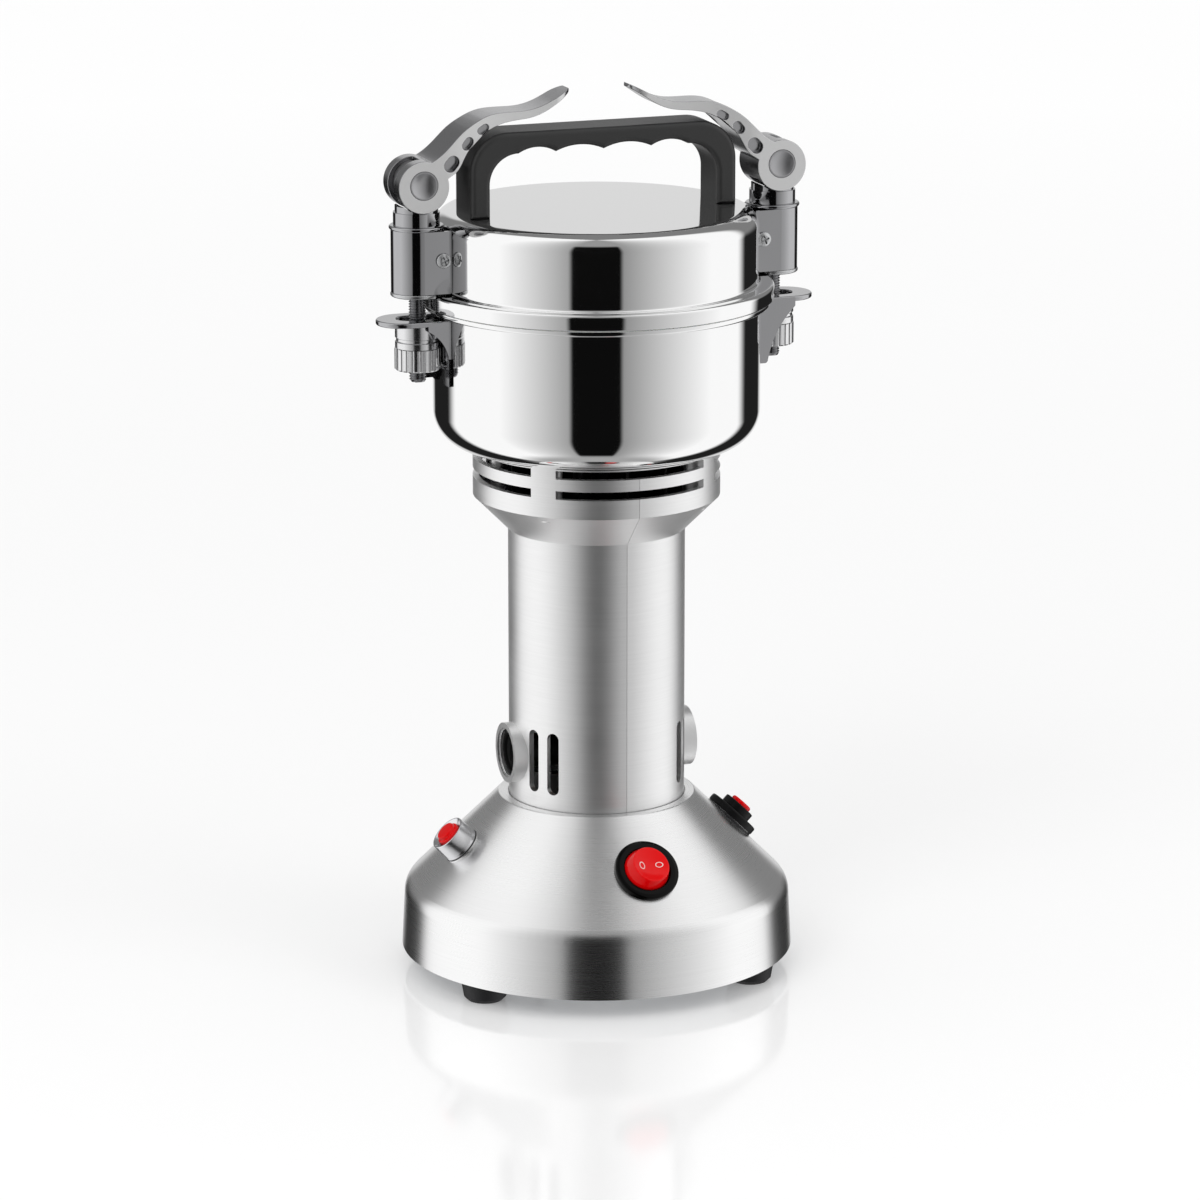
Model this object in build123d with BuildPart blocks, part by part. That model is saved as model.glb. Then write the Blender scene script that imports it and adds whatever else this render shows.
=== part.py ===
"""Electric grain mill: spun base, cast motor column, grinding bowl and a lid held by two cam clamps.

Origin at the centre of the base on the surface it stands on, +Z up, controls towards -Y,
clamps on +X and -X. Millimetres. Azimuths are degrees from -Y towards +X.
"""
from build123d import *
import os
from math import cos, degrees, radians, sin, sqrt

os.makedirs("parts", exist_ok=True)

# ---- base shell, spun from sheet ----
shell_wall = 1.5
rim_radius = 93.0
rim_height = 10.0
rim_taper = 1.6
rim_length = 29.6
corner_round = 10.0
neck_radius = 46.6
neck_gap = 0.6
corner_radius = rim_radius - rim_taper
corner_height = rim_height + rim_length
cone_rise = corner_radius - neck_radius
neck_height = corner_height + cone_rise

# ---- controls on the cone ----
control_rise = 23.7
control_height = corner_height + control_rise
control_radius = neck_radius + neck_height - control_height
cone_bend = control_radius / cos(radians(45))
pad_rise = 0.3
pad_sink = 0.2
panel_gap = 0.3
front = 0
right = 90
rear = 180
left = -90

# ---- bottom plate, tabs, feet ----
plate_thickness = 2.0
plate_gap = 0.5
plate_lift = 0.5
foot_azimuths = (-61, 46, 172.5)
foot_inset = 13.5
foot_distance = rim_radius - foot_inset
foot_top_radius = 11.5
foot_bottom_radius = 10.0
foot_round = 1.8
foot_recess_radius = 4.8
foot_recess_depth = 5.0
screw_radius = 2.0
screw_gap = 0.2
screw_head_radius = 4.0
screw_head_height = 2.4
tab_thickness = 1.5
tab_height = 16.0
tab_width = 18.0
tab_length = 15.0
tab_gap = 0.3
tab_grip = 2.0

# ---- pillars between plate and housing ----
pillar_azimuths = (-60, 60, 180)
pillar_radius = 4.5
pillar_bore_depth = 12.0
pillar_screw_length = 10.0

# ---- motor housing, cast in two halves ----
tube_radius = 41.6
tube_wall = 3.0
flange_radius = 45.6
flange_thickness = 3.0
column_length = 129.6
flare_radius = 42.0
collar_radius = 58.0
collar_height = 24.0
seam_gap = 0.15
flare_height = neck_height + column_length
collar_bottom = flare_height + collar_radius - flare_radius
housing_top = collar_bottom + collar_height
tube_inner = tube_radius - tube_wall
collar_inner = collar_radius - tube_wall
top_ring_thickness = 1.5
top_ring_inner = 46.0
slot_height = 4.0
slot_rises = (9.0, 18.5)
rib_width = 12.5
rib_azimuth = 45
post_distance = 50.0
post_radius = 5.5
post_depth = 27.0
post_floor = 4.0
post_bottom = housing_top - post_depth
vent_azimuths = (49.4, 65.0)
vent_width = 6.2
vent_length = 30.0
boss_rise = 22.6
boss_height = neck_height + boss_rise
vent_height = boss_height
boss_radius = 14.25
boss_face = 45.75
boss_recess_radius = 11.75
boss_recess_depth = 4.5

# ---- motor ----
shaft_radius = 6.0
journal_radius = 4.0
journal_tail = 1.0
blade_seat_radius = 5.0
shaft_clearance = 1.0
fit_gap = 0.05
lower_bearing_rise = 2.6
lower_bearing_bottom = neck_height + lower_bearing_rise
lower_bearing_height = 7.0
lower_bearing_radius = 11.0
upper_bearing_rise = 2.0
upper_bearing_bottom = flare_height + upper_bearing_rise
upper_bearing_height = 8.0
upper_bearing_radius = 14.0
bearing_web = 2.5
hub_wall = 3.5
bracket_rise = 1.0
lower_bracket_bottom = lower_bearing_bottom + bracket_rise
lower_bracket_thickness = 3.0
upper_bracket_bottom = upper_bearing_bottom + bracket_rise
upper_bracket_thickness = 4.0
bracket_gap = 0.3
airway_radius = 8.0
airway_distance = 25.0
core_rise = 23.0
core_bottom = boss_height + core_rise
core_height = 45.0
yoke_inner = 30.0
shoe_outer = 23.2
stator_bore = 20.6
pole_width = 20.0
shoe_half_angle = 52
coil_inner = 23.6
coil_outer = 29.6
coil_angle = 104
coil_window_angle = 53
coil_overhang = 7.0
coil_gap = 0.4
armature_radius = 20.0
armature_slots = 12
armature_slot_width = 2.4
armature_slot_depth = 8.0
end_turn_radius = 17.5
end_turn_inner = 8.0
end_turn_height = 8.0
commutator_drop = 9.0
commutator_bottom = boss_height - commutator_drop
commutator_height = 20.0
commutator_radius = 11.0
commutator_bars = 16
bar_gap_width = 0.6
bar_gap_depth = 1.0
bolt_distance = 33.8
bolt_head_radius = 3.6
bolt_head_height = 3.0
holder_radius = 8.0
holder_inner_end = 14.0
brush_width = 6.0
brush_height = 9.0
brush_length = 18.0
brush_air_gap = 0.4
brush_fit = 0.1
spring_radius = 2.8
spring_wire = 0.8
cap_gap = 0.25
cap_thickness = 3.4
cap_groove_radius = 8.5
cap_groove_width = 0.8
cap_groove_depth = 0.6
cap_slot_width = 1.6
cap_slot_length = 13.0
cap_slot_depth = 1.2
fan_lift = 2.0
fan_plate = 2.0
fan_drop = 5.0
fan_bottom = collar_bottom + fan_lift
fan_top = housing_top - fan_drop
fan_radius = 43.0
fan_hub_radius = 11.0
fan_blades = 12
fan_blade_thickness = 1.6
fan_blade_inner = 18.0
fan_blade_inset = 1.0
fan_blade_outer = fan_radius - fan_blade_inset

# ---- bowl ----
bowl_radius = 76.3
bowl_wall = 1.2
bowl_round = 17.0
bowl_depth = 69.0
bowl_top = housing_top + bowl_depth
lip_reach = 4.7
lip_radius = bowl_radius + lip_reach
latch_stand = 11.2
latch_radius = bowl_radius + latch_stand
lip_height = 3.0
lip_round = 1.2
weld_gap = 0.1
seal_radius = 12.0
seal_neck_radius = 9.0
seal_neck_length = 4.0
seal_height = 3.0

# ---- blades ----
lower_blade_rise = 8.0
lower_blade_height = housing_top + lower_blade_rise
blade_thickness = 2.0
lower_blade_reach = 66.0
upper_blade_reach = 56.0
blade_width = 17.0
blade_flat = 24.0
lower_tip_rise = 3.6
upper_tip_rise = 9.0
blade_bevel = 1.4
spacer_radius = 9.0
spacer_height = 13.0
blade_nut_radius = 8.5
blade_nut_height = 8.0
shaft_end_length = 3.0

# ---- lid ----
lid_lift_gap = 0.3
lid_height = 42.0
lid_top = bowl_top + lid_height
lid_inset = 0.8
lid_radius = bowl_radius - lid_inset
lid_round = 8.5
lid_wall = 1.2
band_overhang = 1.6
band_radius = lip_radius + band_overhang
band_height = 7.5
band_top = bowl_top + band_height
band_round = 2.0
foot_of_wall_round = 1.5
seal_ring_gap = 0.1
seal_ring_width = 4.7

# ---- grip on the lid ----
grip_inset = 22.5
grip_half = latch_radius - grip_inset
grip_height = 39.0
grip_top = lid_top + grip_height
grip_leg = 9.6
grip_width = 24.0
grip_outer_round = 18.0
grip_inner_round = 14.0
grip_beam = 10.0
grip_roof = grip_top - grip_beam
ridge_pitch = 23.3
scallop_depth = 2.5
ridge_round = 3.0
grip_edge_round = 2.5
grip_screw_y = 6.5
grip_screw_length = 14.0

# ---- clamps ----
rod_radius = 4.0
rod_tail = 6.0
rod_gap = 0.3
thread_gap = 0.1
pivot_rise = 17.0
pivot_height = lid_top + pivot_rise
lever_width = 24.0
lever_slot = 10.0
ear_radius = 12.0
cam_offset = 0.8
pin_radius = 6.5
pin_gap = 0.1
pin_dish_radius = 5.9
pin_dish_depth = 1.8
drum_radius = 9.5
drum_gap = 0.3
arm_reach = 73.5
arm_upper = (
    (2.0, 9.8), (8.0, 13.2), (13.0, 17.6), (18.5, 22.9), (24.5, 26.9), (31.0, 29.9),
    (38.0, 31.0), (45.0, 31.1), (52.0, 31.5), (60.0, 33.8), (66.5, 37.0), (72.5, 40.0),
)
arm_lower = (
    (9.5, -2.0), (11.8, 2.8), (15.5, 5.2), (18.2, 8.8), (20.9, 13.6), (24.8, 18.2),
    (30.3, 22.6), (37.0, 25.6), (45.8, 27.2), (52.4, 27.9), (59.5, 30.2), (66.5, 34.4), (73.4, 38.6),
)
arm_pockets = ((13.3, 9.3, 8.0, 6.0, 48), (21.3, 18.1, 6.4, 4.2, 50), (29.0, 24.2, 6.0, 3.4, 30))
pocket_floor = 8.5
plan_steps = ((10.0, 12.0), (20.0, 11.3), (32.0, 9.9), (45.0, 8.9), (58.0, 8.5))
paddle_radius = 8.5
cam_washer_radius = 10.8
cam_washer_height = 6.0
cam_washer_sink = 2.5
cam_washer_bottom = lid_top - cam_washer_sink
saddle_radius = 10.0
saddle_height = 9.0
saddle_gap = 0.5
ring_radius = 12.8
ring_thickness = 2.0
ring_round = 0.9
ring_gap = 0.3
ring_bottom = cam_washer_bottom - ring_thickness
bracket_radius = 12.0
bracket_wall = 1.5
bracket_lift = 1.0
bracket_bottom = band_top + bracket_lift
guide_gap = 0.2
guide_inset = 1.5
low_washer_radius = 12.3
low_washer_thickness = 2.1
low_washer_gap = 0.2
bracket_screw_inset = 3.1
bracket_screw_rise = 15.5
bracket_screw_distance = lid_radius + bracket_screw_inset
bracket_screw_height = bracket_bottom + bracket_screw_rise
bracket_screw_radius = 1.8
bracket_screw_head = 3.5
bracket_screw_dome = 2.2
bracket_screw_length = 7.0
nut_height = 10.2
nut_radius = 10.7
nut_flutes = 24
flute_radius = 0.8
nut_gap = 0.3
nut_neck_radius = 6.0
nut_neck_height = 3.8
nut_head_radius = 7.5
nut_head_height = 3.0
cup_radius = 10.4
cup_roof = 4.5
cup_waist = 0.5
cup_waist_height = 1.6
ledge_drop = 4.0
ledge_thickness = 2.5
ledge_round = 0.8
ledge_half_width = 12.6
ledge_overhang = 19.5
ledge_slot_width = 11.5
ledge_slot_overhang = 10.0
gusset_thickness = 1.5
gusset_length = 28.5
long_gusset_reach = 18.2
long_gusset_toe = 4.6
long_gusset_bow = 9.4
long_gusset_bow_drop = 13.4
short_gusset_reach = 9.8
short_gusset_length = 15.5
short_gusset_bow = 3.4
short_gusset_bow_drop = 7.4
gusset_edge = 2.0
toe_round = 1.6
weld_flange_thickness = 1.1
weld_flange_start = 4.1
weld_flange_end = 9.3
flange_hole_radius = 2.3
flange_hole_drop = 18.5
flange_hole_azimuth = 6.2

# ---- switch ----
bezel_radius = 15.25
bezel_height = 3.0
bezel_chamfer = 1.0
bezel_lip_radius = 13.0
bezel_lip_height = 1.2
well_radius = 11.2
well_depth = 7.0
switch_body_radius = 11.9
switch_body_depth = 18.0
rocker_radius = 10.25
rocker_ball = 10.9
rocker_pivot_rise = 1.8
rocker_tilt = 8
rocker_crown = 1.0
rocker_depth = 5.0
trunnion_radius = 1.2
trunnion_gap = 0.1
trunnion_reach = 12.6

# ---- reset button ----
reset_flange_radius = 10.0
reset_gasket_radius = 10.4
reset_gasket_height = 1.0
reset_flange_height = 1.3
reset_cup_radius = 9.0
reset_cup_height = 10.3
reset_mouth_radius = 8.2
reset_funnel_height = 6.5
reset_barrel_radius = 7.4
reset_barrel_depth = 9.0
reset_button_radius = 5.85
reset_button_height = 7.6
button_gap = 0.25
button_flange_height = 1.7
button_rim_radius = 4.4
button_rim_depth = 0.5
panel_nut_radius = 11.0
panel_nut_height = 4.0
panel_nut_top = -2.6

# ---- overload protector ----
overload_nut_radius = 13.25
overload_nut_height = 3.8
overload_neck_radius = 8.0
overload_neck_height = 8.1
overload_block_radius = 13.0
overload_block_depth = 20.0
overload_block_top = -2.9
overload_button_radius = 5.35
overload_button_height = 10.1
overload_flange_radius = 6.6
overload_flange_top = -2.0
overload_flange_height = 1.5
overload_travel = 1.5

# ---- cord gland ----
gland_flange_radius = 9.0
gland_flange_height = 3.0
gland_nose_radius = 5.5
gland_nose_height = 13.0
gland_root_radius = 6.6
gland_barrel_radius = 7.4
gland_barrel_depth = 9.0
gland_bore = 3.75

round_edge = 0.6
over_cut = 1.0
both_sides = (-1, 1)


def polar(radius, azimuth, height=0.0):
    """Point at a radius and azimuth."""
    angle = radians(azimuth)
    return Vector(radius * sin(angle), -radius * cos(angle), height)


def radial_plane(azimuth):
    """Upright plane through the Z axis: x outward at the azimuth, y up."""
    outward = polar(1, azimuth)
    return Plane(origin=(0, 0, 0), x_dir=outward, z_dir=outward.cross(Vector(0, 0, 1)))


def cone_plane(azimuth, rise=0.0):
    """Plane on the base cone: x along the rim, y up the slope, z out of the metal."""
    outward = polar(1, azimuth)
    normal = (outward + Vector(0, 0, 1)).normalized()
    along = Vector(cos(radians(azimuth)), sin(radians(azimuth)), 0)
    origin = polar(control_radius, azimuth, control_height) + normal * rise
    return Plane(origin=origin, x_dir=along, z_dir=normal)


def turn(plane, *outline, mode=Mode.ADD):
    """Spin an outline of (radius, height) points about the normal of a plane."""
    section = Plane(origin=plane.origin, x_dir=plane.x_dir, z_dir=-plane.y_dir)
    with BuildSketch(section) as profile:
        with BuildLine():
            Polyline(*outline, close=True)
        make_face()
    revolve(profile.sketch, axis=Axis(plane.origin, plane.z_dir), mode=mode)


def arc_block(inner, outer, low, high, azimuth, arc, mode=Mode.ADD):
    """Block between two radii and two heights, spread over an arc about the azimuth."""
    with BuildSketch(radial_plane(azimuth - arc / 2)) as profile:
        with Locations(((inner + outer) / 2, (low + high) / 2)):
            Rectangle(outer - inner, high - low)
    revolve(profile.sketch, axis=Axis.Z, revolution_arc=arc, mode=mode)


def upright(x, y, z=0.0):
    """Level plane with its origin at a point."""
    return Plane(origin=(x, y, z), x_dir=(1, 0, 0), z_dir=(0, 0, 1))


def bar(plane, radius, low, high, mode=Mode.ADD):
    """Round bar along the normal of a plane."""
    turn(plane, (0, low), (radius, low), (radius, high), (0, high), mode=mode)


def tube(plane, inner, outer, low, high, mode=Mode.ADD):
    """Tube along the normal of a plane."""
    turn(plane, (inner, low), (outer, low), (outer, high), (inner, high), mode=mode)


# ======== base ========
control_pads = (
    (front, bezel_radius - panel_gap, switch_body_radius + panel_gap),
    (left, reset_flange_radius - panel_gap, reset_barrel_radius + panel_gap),
    (right, overload_nut_radius - panel_gap, overload_neck_radius + panel_gap),
    (rear, gland_flange_radius - panel_gap, gland_barrel_radius + panel_gap),
)

# Spun shell: a short upright rim, a 45 degree cone and a lip round the column.
with BuildPart() as base_shell:
    with BuildSketch(Plane.XZ):
        with BuildLine():
            FilletPolyline(
                (0, rim_height),
                (rim_radius, rim_height),
                (corner_radius, corner_height),
                (neck_radius, neck_height),
                (0, neck_height),
                radius=(0, corner_round, 1.0),
            )
            Line((0, neck_height), (0, rim_height))
        make_face()
    revolve(axis=Axis.Z)
    open_bottom = base_shell.faces().sort_by(Axis.Z)[0]
    offset(amount=-shell_wall, openings=open_bottom)
    for azimuth, pad_radius, hole_radius in control_pads:
        sink = pad_radius**2 / (2 * cone_bend) + pad_sink
        bar(cone_plane(azimuth), pad_radius, -sink, pad_rise)
    for azimuth, pad_radius, hole_radius in control_pads:
        reach = pad_radius
        bar(cone_plane(azimuth), hole_radius, -reach, reach, mode=Mode.SUBTRACT)
    bar(Plane.XY, tube_radius + neck_gap, corner_height, neck_height + shell_wall, mode=Mode.SUBTRACT)

plate_bottom = rim_height + plate_lift
plate_top = plate_bottom + plate_thickness
plate_radius = rim_radius - shell_wall - plate_gap
flange_top = neck_height - shell_wall - fit_gap
flange_bottom = flange_top - flange_thickness
pillar_distance = (flange_radius + tube_inner) / 2

# Bottom plate, a plain disc that the feet and the pillars are screwed through.
with BuildPart() as base_plate:
    bar(Plane.XY, plate_radius, plate_bottom, plate_top)
    for azimuth in foot_azimuths:
        hole = upright(*polar(foot_distance, azimuth))
        bar(hole, screw_radius + screw_gap, 0, plate_top + over_cut, mode=Mode.SUBTRACT)
    for azimuth in pillar_azimuths:
        hole = upright(*polar(pillar_distance, azimuth))
        bar(hole, screw_radius + screw_gap, 0, plate_top + over_cut, mode=Mode.SUBTRACT)

# Angle tabs inside the rim, over the feet, that hold the plate to the shell.
rim_slope = (rim_radius - corner_radius) / (corner_height - rim_height)
tab_top = plate_top + tab_height
tab_outer = rim_radius - shell_wall - rim_slope * (tab_top - rim_height) - tab_gap
tab_arc = degrees(tab_width / tab_outer)
with BuildPart() as base_tabs:
    for azimuth in foot_azimuths:
        arc_block(tab_outer - tab_length, tab_outer, plate_top, plate_top + tab_thickness, azimuth, tab_arc)
        arc_block(tab_outer - tab_thickness, tab_outer, plate_top, tab_top, azimuth, tab_arc)
    for azimuth in foot_azimuths:
        hole = upright(*polar(foot_distance, azimuth))
        bar(hole, screw_radius + fit_gap, plate_bottom, tab_top, mode=Mode.SUBTRACT)

# Rubber feet, wider at the top, with a recess for the screw head.
with BuildPart() as feet:
    for azimuth in foot_azimuths:
        turn(
            upright(*polar(foot_distance, azimuth)),
            (foot_recess_radius, 0),
            (foot_bottom_radius - foot_round, 0),
            (foot_bottom_radius, foot_round),
            (foot_top_radius, plate_bottom),
            (screw_radius + screw_gap, plate_bottom),
            (screw_radius + screw_gap, foot_recess_depth),
            (foot_recess_radius, foot_recess_depth),
        )

with BuildPart() as foot_screws:
    for azimuth in foot_azimuths:
        turn(
            upright(*polar(foot_distance, azimuth)),
            (0, foot_recess_depth - screw_head_height),
            (screw_head_radius, foot_recess_depth - screw_head_height),
            (screw_head_radius, foot_recess_depth),
            (screw_radius, foot_recess_depth),
            (screw_radius, plate_top + tab_thickness + tab_grip),
            (0, plate_top + tab_thickness + tab_grip),
        )

# Pillars that press the housing flange up against the lip of the shell.
stud_top = flange_top - fit_gap
with BuildPart() as pillars:
    for azimuth in pillar_azimuths:
        turn(
            upright(*polar(pillar_distance, azimuth)),
            (screw_radius + fit_gap, plate_top),
            (pillar_radius, plate_top),
            (pillar_radius, flange_bottom),
            (screw_radius, flange_bottom),
            (screw_radius, stud_top),
            (0, stud_top),
            (0, plate_top + pillar_bore_depth),
            (screw_radius + fit_gap, plate_top + pillar_bore_depth),
        )

with BuildPart() as pillar_screws:
    for azimuth in pillar_azimuths:
        turn(
            upright(*polar(pillar_distance, azimuth)),
            (0, plate_bottom - screw_head_height),
            (screw_head_radius, plate_bottom - screw_head_height),
            (screw_head_radius, plate_bottom),
            (screw_radius, plate_bottom),
            (screw_radius, plate_bottom + pillar_screw_length),
            (0, plate_bottom + pillar_screw_length),
        )

# ======== motor housing ========
# Cast column in two halves: flange under the shell's lip, tube, flare and a slotted collar.
flare_wall = tube_wall / cos(radians(45))
inner_flare_start = flare_height + flare_wall - (flare_radius - tube_inner)
inner_flare_end = inner_flare_start + collar_inner - tube_inner
housing_halves = {}
for side in both_sides:
    with BuildPart() as half:
        turn(
            Plane.XY,
            (0, flange_bottom),
            (flange_radius, flange_bottom),
            (flange_radius, flange_top),
            (tube_radius, flange_top),
            (tube_radius, flare_height),
            (flare_radius, flare_height),
            (collar_radius, collar_bottom),
            (collar_radius, housing_top),
            (0, housing_top),
        )
        brush_side = Plane(origin=(0, 0, boss_height), x_dir=(0, 1, 0), z_dir=(side, 0, 0))
        bar(brush_side, boss_radius, 0, boss_face)
        turn(
            Plane.XY,
            (0, flange_bottom),
            (tube_inner, flange_bottom),
            (tube_inner, inner_flare_start),
            (collar_inner, inner_flare_end),
            (collar_inner, housing_top - top_ring_thickness),
            (top_ring_inner, housing_top - top_ring_thickness),
            (top_ring_inner, housing_top),
            (0, housing_top),
            mode=Mode.SUBTRACT,
        )
        for rib in (rib_azimuth, 180 - rib_azimuth):
            post = upright(*polar(post_distance, side * rib))
            bar(post, post_radius, post_bottom, housing_top)
        for slot_rise in slot_rises:
            with BuildSketch(Plane.XY.offset(collar_bottom + slot_rise)):
                Circle(collar_radius + over_cut)
                Circle(collar_inner - over_cut, mode=Mode.SUBTRACT)
                for turned in (rib_azimuth, -rib_azimuth):
                    Rectangle(3 * collar_radius, rib_width, rotation=turned, mode=Mode.SUBTRACT)
            extrude(amount=slot_height, mode=Mode.SUBTRACT)
        for rib in (rib_azimuth, 180 - rib_azimuth):
            post = upright(*polar(post_distance, side * rib))
            thread_start = post_bottom + post_floor / 2
            bar(post, screw_radius + fit_gap, thread_start, housing_top + over_cut, mode=Mode.SUBTRACT)
        for azimuth in pillar_azimuths:
            stud = upright(*polar(pillar_distance, azimuth))
            bar(stud, screw_radius + screw_gap, 0, flange_top, mode=Mode.SUBTRACT)
        recess_floor = boss_face - boss_recess_depth
        bar(brush_side, boss_recess_radius, recess_floor, boss_face + over_cut, mode=Mode.SUBTRACT)
        bar(brush_side, holder_radius + brush_fit, 0, boss_face, mode=Mode.SUBTRACT)
        for vent in vent_azimuths:
            for azimuth in (side * vent, side * (180 - vent)):
                outward = polar(1, azimuth)
                vent_plane = Plane(
                    origin=polar(tube_inner - over_cut, azimuth, vent_height),
                    x_dir=Vector(0, 0, 1),
                    z_dir=outward,
                )
                with BuildSketch(vent_plane):
                    SlotOverall(vent_length, vent_width)
                extrude(amount=tube_wall + 3 * over_cut, mode=Mode.SUBTRACT)
        split(bisect_by=Plane.YZ.offset(side * seam_gap / 2), keep=Keep.TOP if side > 0 else Keep.BOTTOM)
    housing_halves[side] = half
motor_housing_left = housing_halves[-1]
motor_housing_right = housing_halves[1]

# ======== motor ========
# Laminated field core with two poles facing the brushes' sides.
stator_radius = tube_inner - bracket_gap
pole_start = sqrt(shoe_outer**2 - (pole_width / 2) ** 2)
pole_end = yoke_inner + over_cut
with BuildPart() as stator_core:
    for side in both_sides:
        core_top = core_bottom + core_height
        arc_block(stator_bore, shoe_outer, core_bottom, core_top, side * 90, 2 * shoe_half_angle)
    with BuildSketch(Plane.XY.offset(core_bottom)):
        for side in both_sides:
            with Locations((side * (pole_start + pole_end) / 2, 0)):
                Rectangle(pole_end - pole_start, pole_width)
    extrude(amount=core_height)
    tube(Plane.XY, yoke_inner, stator_radius, core_bottom, core_bottom + core_height)
    for side in both_sides:
        bolt_hole = upright(0, side * bolt_distance)
        bar(bolt_hole, screw_radius + screw_gap, 0, housing_top, mode=Mode.SUBTRACT)

# Field coils wound round the poles.
with BuildPart() as field_coils:
    for side in both_sides:
        coil_low = core_bottom - coil_overhang
        coil_high = core_bottom + core_height + coil_overhang
        arc_block(coil_inner, coil_outer, coil_low, coil_high, side * 90, coil_angle)
    for side in both_sides:
        window_low = core_bottom - coil_gap
        window_high = core_bottom + core_height + coil_gap
        arc_block(
            coil_inner - over_cut,
            coil_outer + over_cut,
            window_low,
            window_high,
            side * 90,
            coil_window_angle,
            mode=Mode.SUBTRACT,
        )

lower_hub_radius = lower_bearing_radius + hub_wall
upper_hub_radius = upper_bearing_radius + hub_wall

# Spider at the foot of the column: bearing cup, airways and the foot of the through bolts.
with BuildPart() as lower_bearing_bracket:
    bar(Plane.XY, stator_radius, lower_bracket_bottom, lower_bracket_bottom + lower_bracket_thickness)
    lower_hub_top = lower_bearing_bottom + lower_bearing_height
    bar(Plane.XY, lower_hub_radius, lower_bearing_bottom - bearing_web, lower_hub_top)
    bar(
        Plane.XY,
        lower_bearing_radius + fit_gap,
        lower_bearing_bottom,
        lower_bearing_bottom + lower_bearing_height + over_cut,
        mode=Mode.SUBTRACT,
    )
    bar(Plane.XY, shaft_radius + shaft_clearance, 0, lower_bearing_bottom, mode=Mode.SUBTRACT)
    for turned in (45, 135, 225, 315):
        airway = upright(*polar(airway_distance, turned))
        bar(airway, airway_radius, 0, lower_bearing_bottom + lower_bearing_height, mode=Mode.SUBTRACT)
    for side in both_sides:
        bar(upright(0, side * bolt_distance), screw_radius + screw_gap, 0, core_bottom, mode=Mode.SUBTRACT)

with BuildPart() as lower_bearing:
    tube(
        Plane.XY,
        journal_radius + fit_gap,
        lower_bearing_radius,
        lower_bearing_bottom,
        lower_bearing_bottom + lower_bearing_height,
    )

# Spider in the flare, which the through bolts pull down against the field core.
upper_bracket_radius = tube_inner + upper_bracket_bottom - inner_flare_start - bracket_gap
with BuildPart() as upper_bearing_bracket:
    bar(Plane.XY, upper_bracket_radius, upper_bracket_bottom, upper_bracket_bottom + upper_bracket_thickness)
    upper_hub_top = upper_bearing_bottom + upper_bearing_height
    bar(Plane.XY, upper_hub_radius, upper_bearing_bottom - bearing_web, upper_hub_top)
    bar(
        Plane.XY,
        upper_bearing_radius + fit_gap,
        upper_bearing_bottom,
        upper_bearing_bottom + upper_bearing_height + over_cut,
        mode=Mode.SUBTRACT,
    )
    bar(Plane.XY, shaft_radius + shaft_clearance, 0, upper_bearing_bottom, mode=Mode.SUBTRACT)
    for turned in (45, 135, 225, 315):
        airway = upright(*polar(airway_distance + upper_bearing_radius - lower_bearing_radius, turned))
        bar(airway, airway_radius, 0, housing_top, mode=Mode.SUBTRACT)
    for side in both_sides:
        bar(upright(0, side * bolt_distance), screw_radius + screw_gap, 0, housing_top, mode=Mode.SUBTRACT)

with BuildPart() as upper_bearing:
    tube(
        Plane.XY,
        shaft_radius + fit_gap,
        upper_bearing_radius,
        upper_bearing_bottom,
        upper_bearing_bottom + upper_bearing_height,
    )

# Long bolts through both bearing brackets and the field core, with their nuts.
with BuildPart() as through_bolts:
    bracket_top = upper_bracket_bottom + upper_bracket_thickness
    for side in both_sides:
        turn(
            upright(0, side * bolt_distance),
            (0, lower_bracket_bottom - bolt_head_height),
            (bolt_head_radius, lower_bracket_bottom - bolt_head_height),
            (bolt_head_radius, lower_bracket_bottom),
            (screw_radius, lower_bracket_bottom),
            (screw_radius, bracket_top),
            (bolt_head_radius, bracket_top),
            (bolt_head_radius, bracket_top + bolt_head_height),
            (0, bracket_top + bolt_head_height),
        )

# Brush gear: insulating holders through the bosses, carbons, springs and screwed caps.
cap_seat = boss_face - boss_recess_depth
brush_start = commutator_radius + brush_air_gap
with BuildPart() as brush_holders:
    for side in both_sides:
        brush_axis = Plane(origin=(0, 0, boss_height), x_dir=(0, 1, 0), z_dir=(side, 0, 0))
        bar(brush_axis, holder_radius, holder_inner_end, cap_seat)
        with BuildSketch(brush_axis):
            Rectangle(brush_width + 2 * brush_fit, brush_height + 2 * brush_fit)
        extrude(amount=cap_seat + over_cut, mode=Mode.SUBTRACT)

with BuildPart() as carbon_brushes:
    for side in both_sides:
        brush_axis = Plane(origin=(side * brush_start, 0, boss_height), x_dir=(0, 1, 0), z_dir=(side, 0, 0))
        with BuildSketch(brush_axis):
            Rectangle(brush_width, brush_height)
        extrude(amount=brush_length)

with BuildPart() as brush_springs:
    for side in both_sides:
        brush_axis = Plane(origin=(0, 0, boss_height), x_dir=(0, 1, 0), z_dir=(side, 0, 0))
        tube(brush_axis, spring_radius - spring_wire, spring_radius, brush_start + brush_length, cap_seat)

with BuildPart() as brush_caps:
    for side in both_sides:
        brush_axis = Plane(origin=(0, 0, boss_height), x_dir=(0, 1, 0), z_dir=(side, 0, 0))
        cap_face = cap_seat + cap_thickness
        bar(brush_axis, boss_recess_radius - cap_gap, cap_seat, cap_face)
        tube(
            brush_axis,
            cap_groove_radius - cap_groove_width,
            cap_groove_radius,
            cap_face - cap_groove_depth,
            cap_face + over_cut,
            mode=Mode.SUBTRACT,
        )
        with BuildSketch(brush_axis.offset(cap_face - cap_slot_depth)):
            Rectangle(cap_slot_width, cap_slot_length)
        extrude(amount=cap_slot_depth + over_cut, mode=Mode.SUBTRACT)

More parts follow.
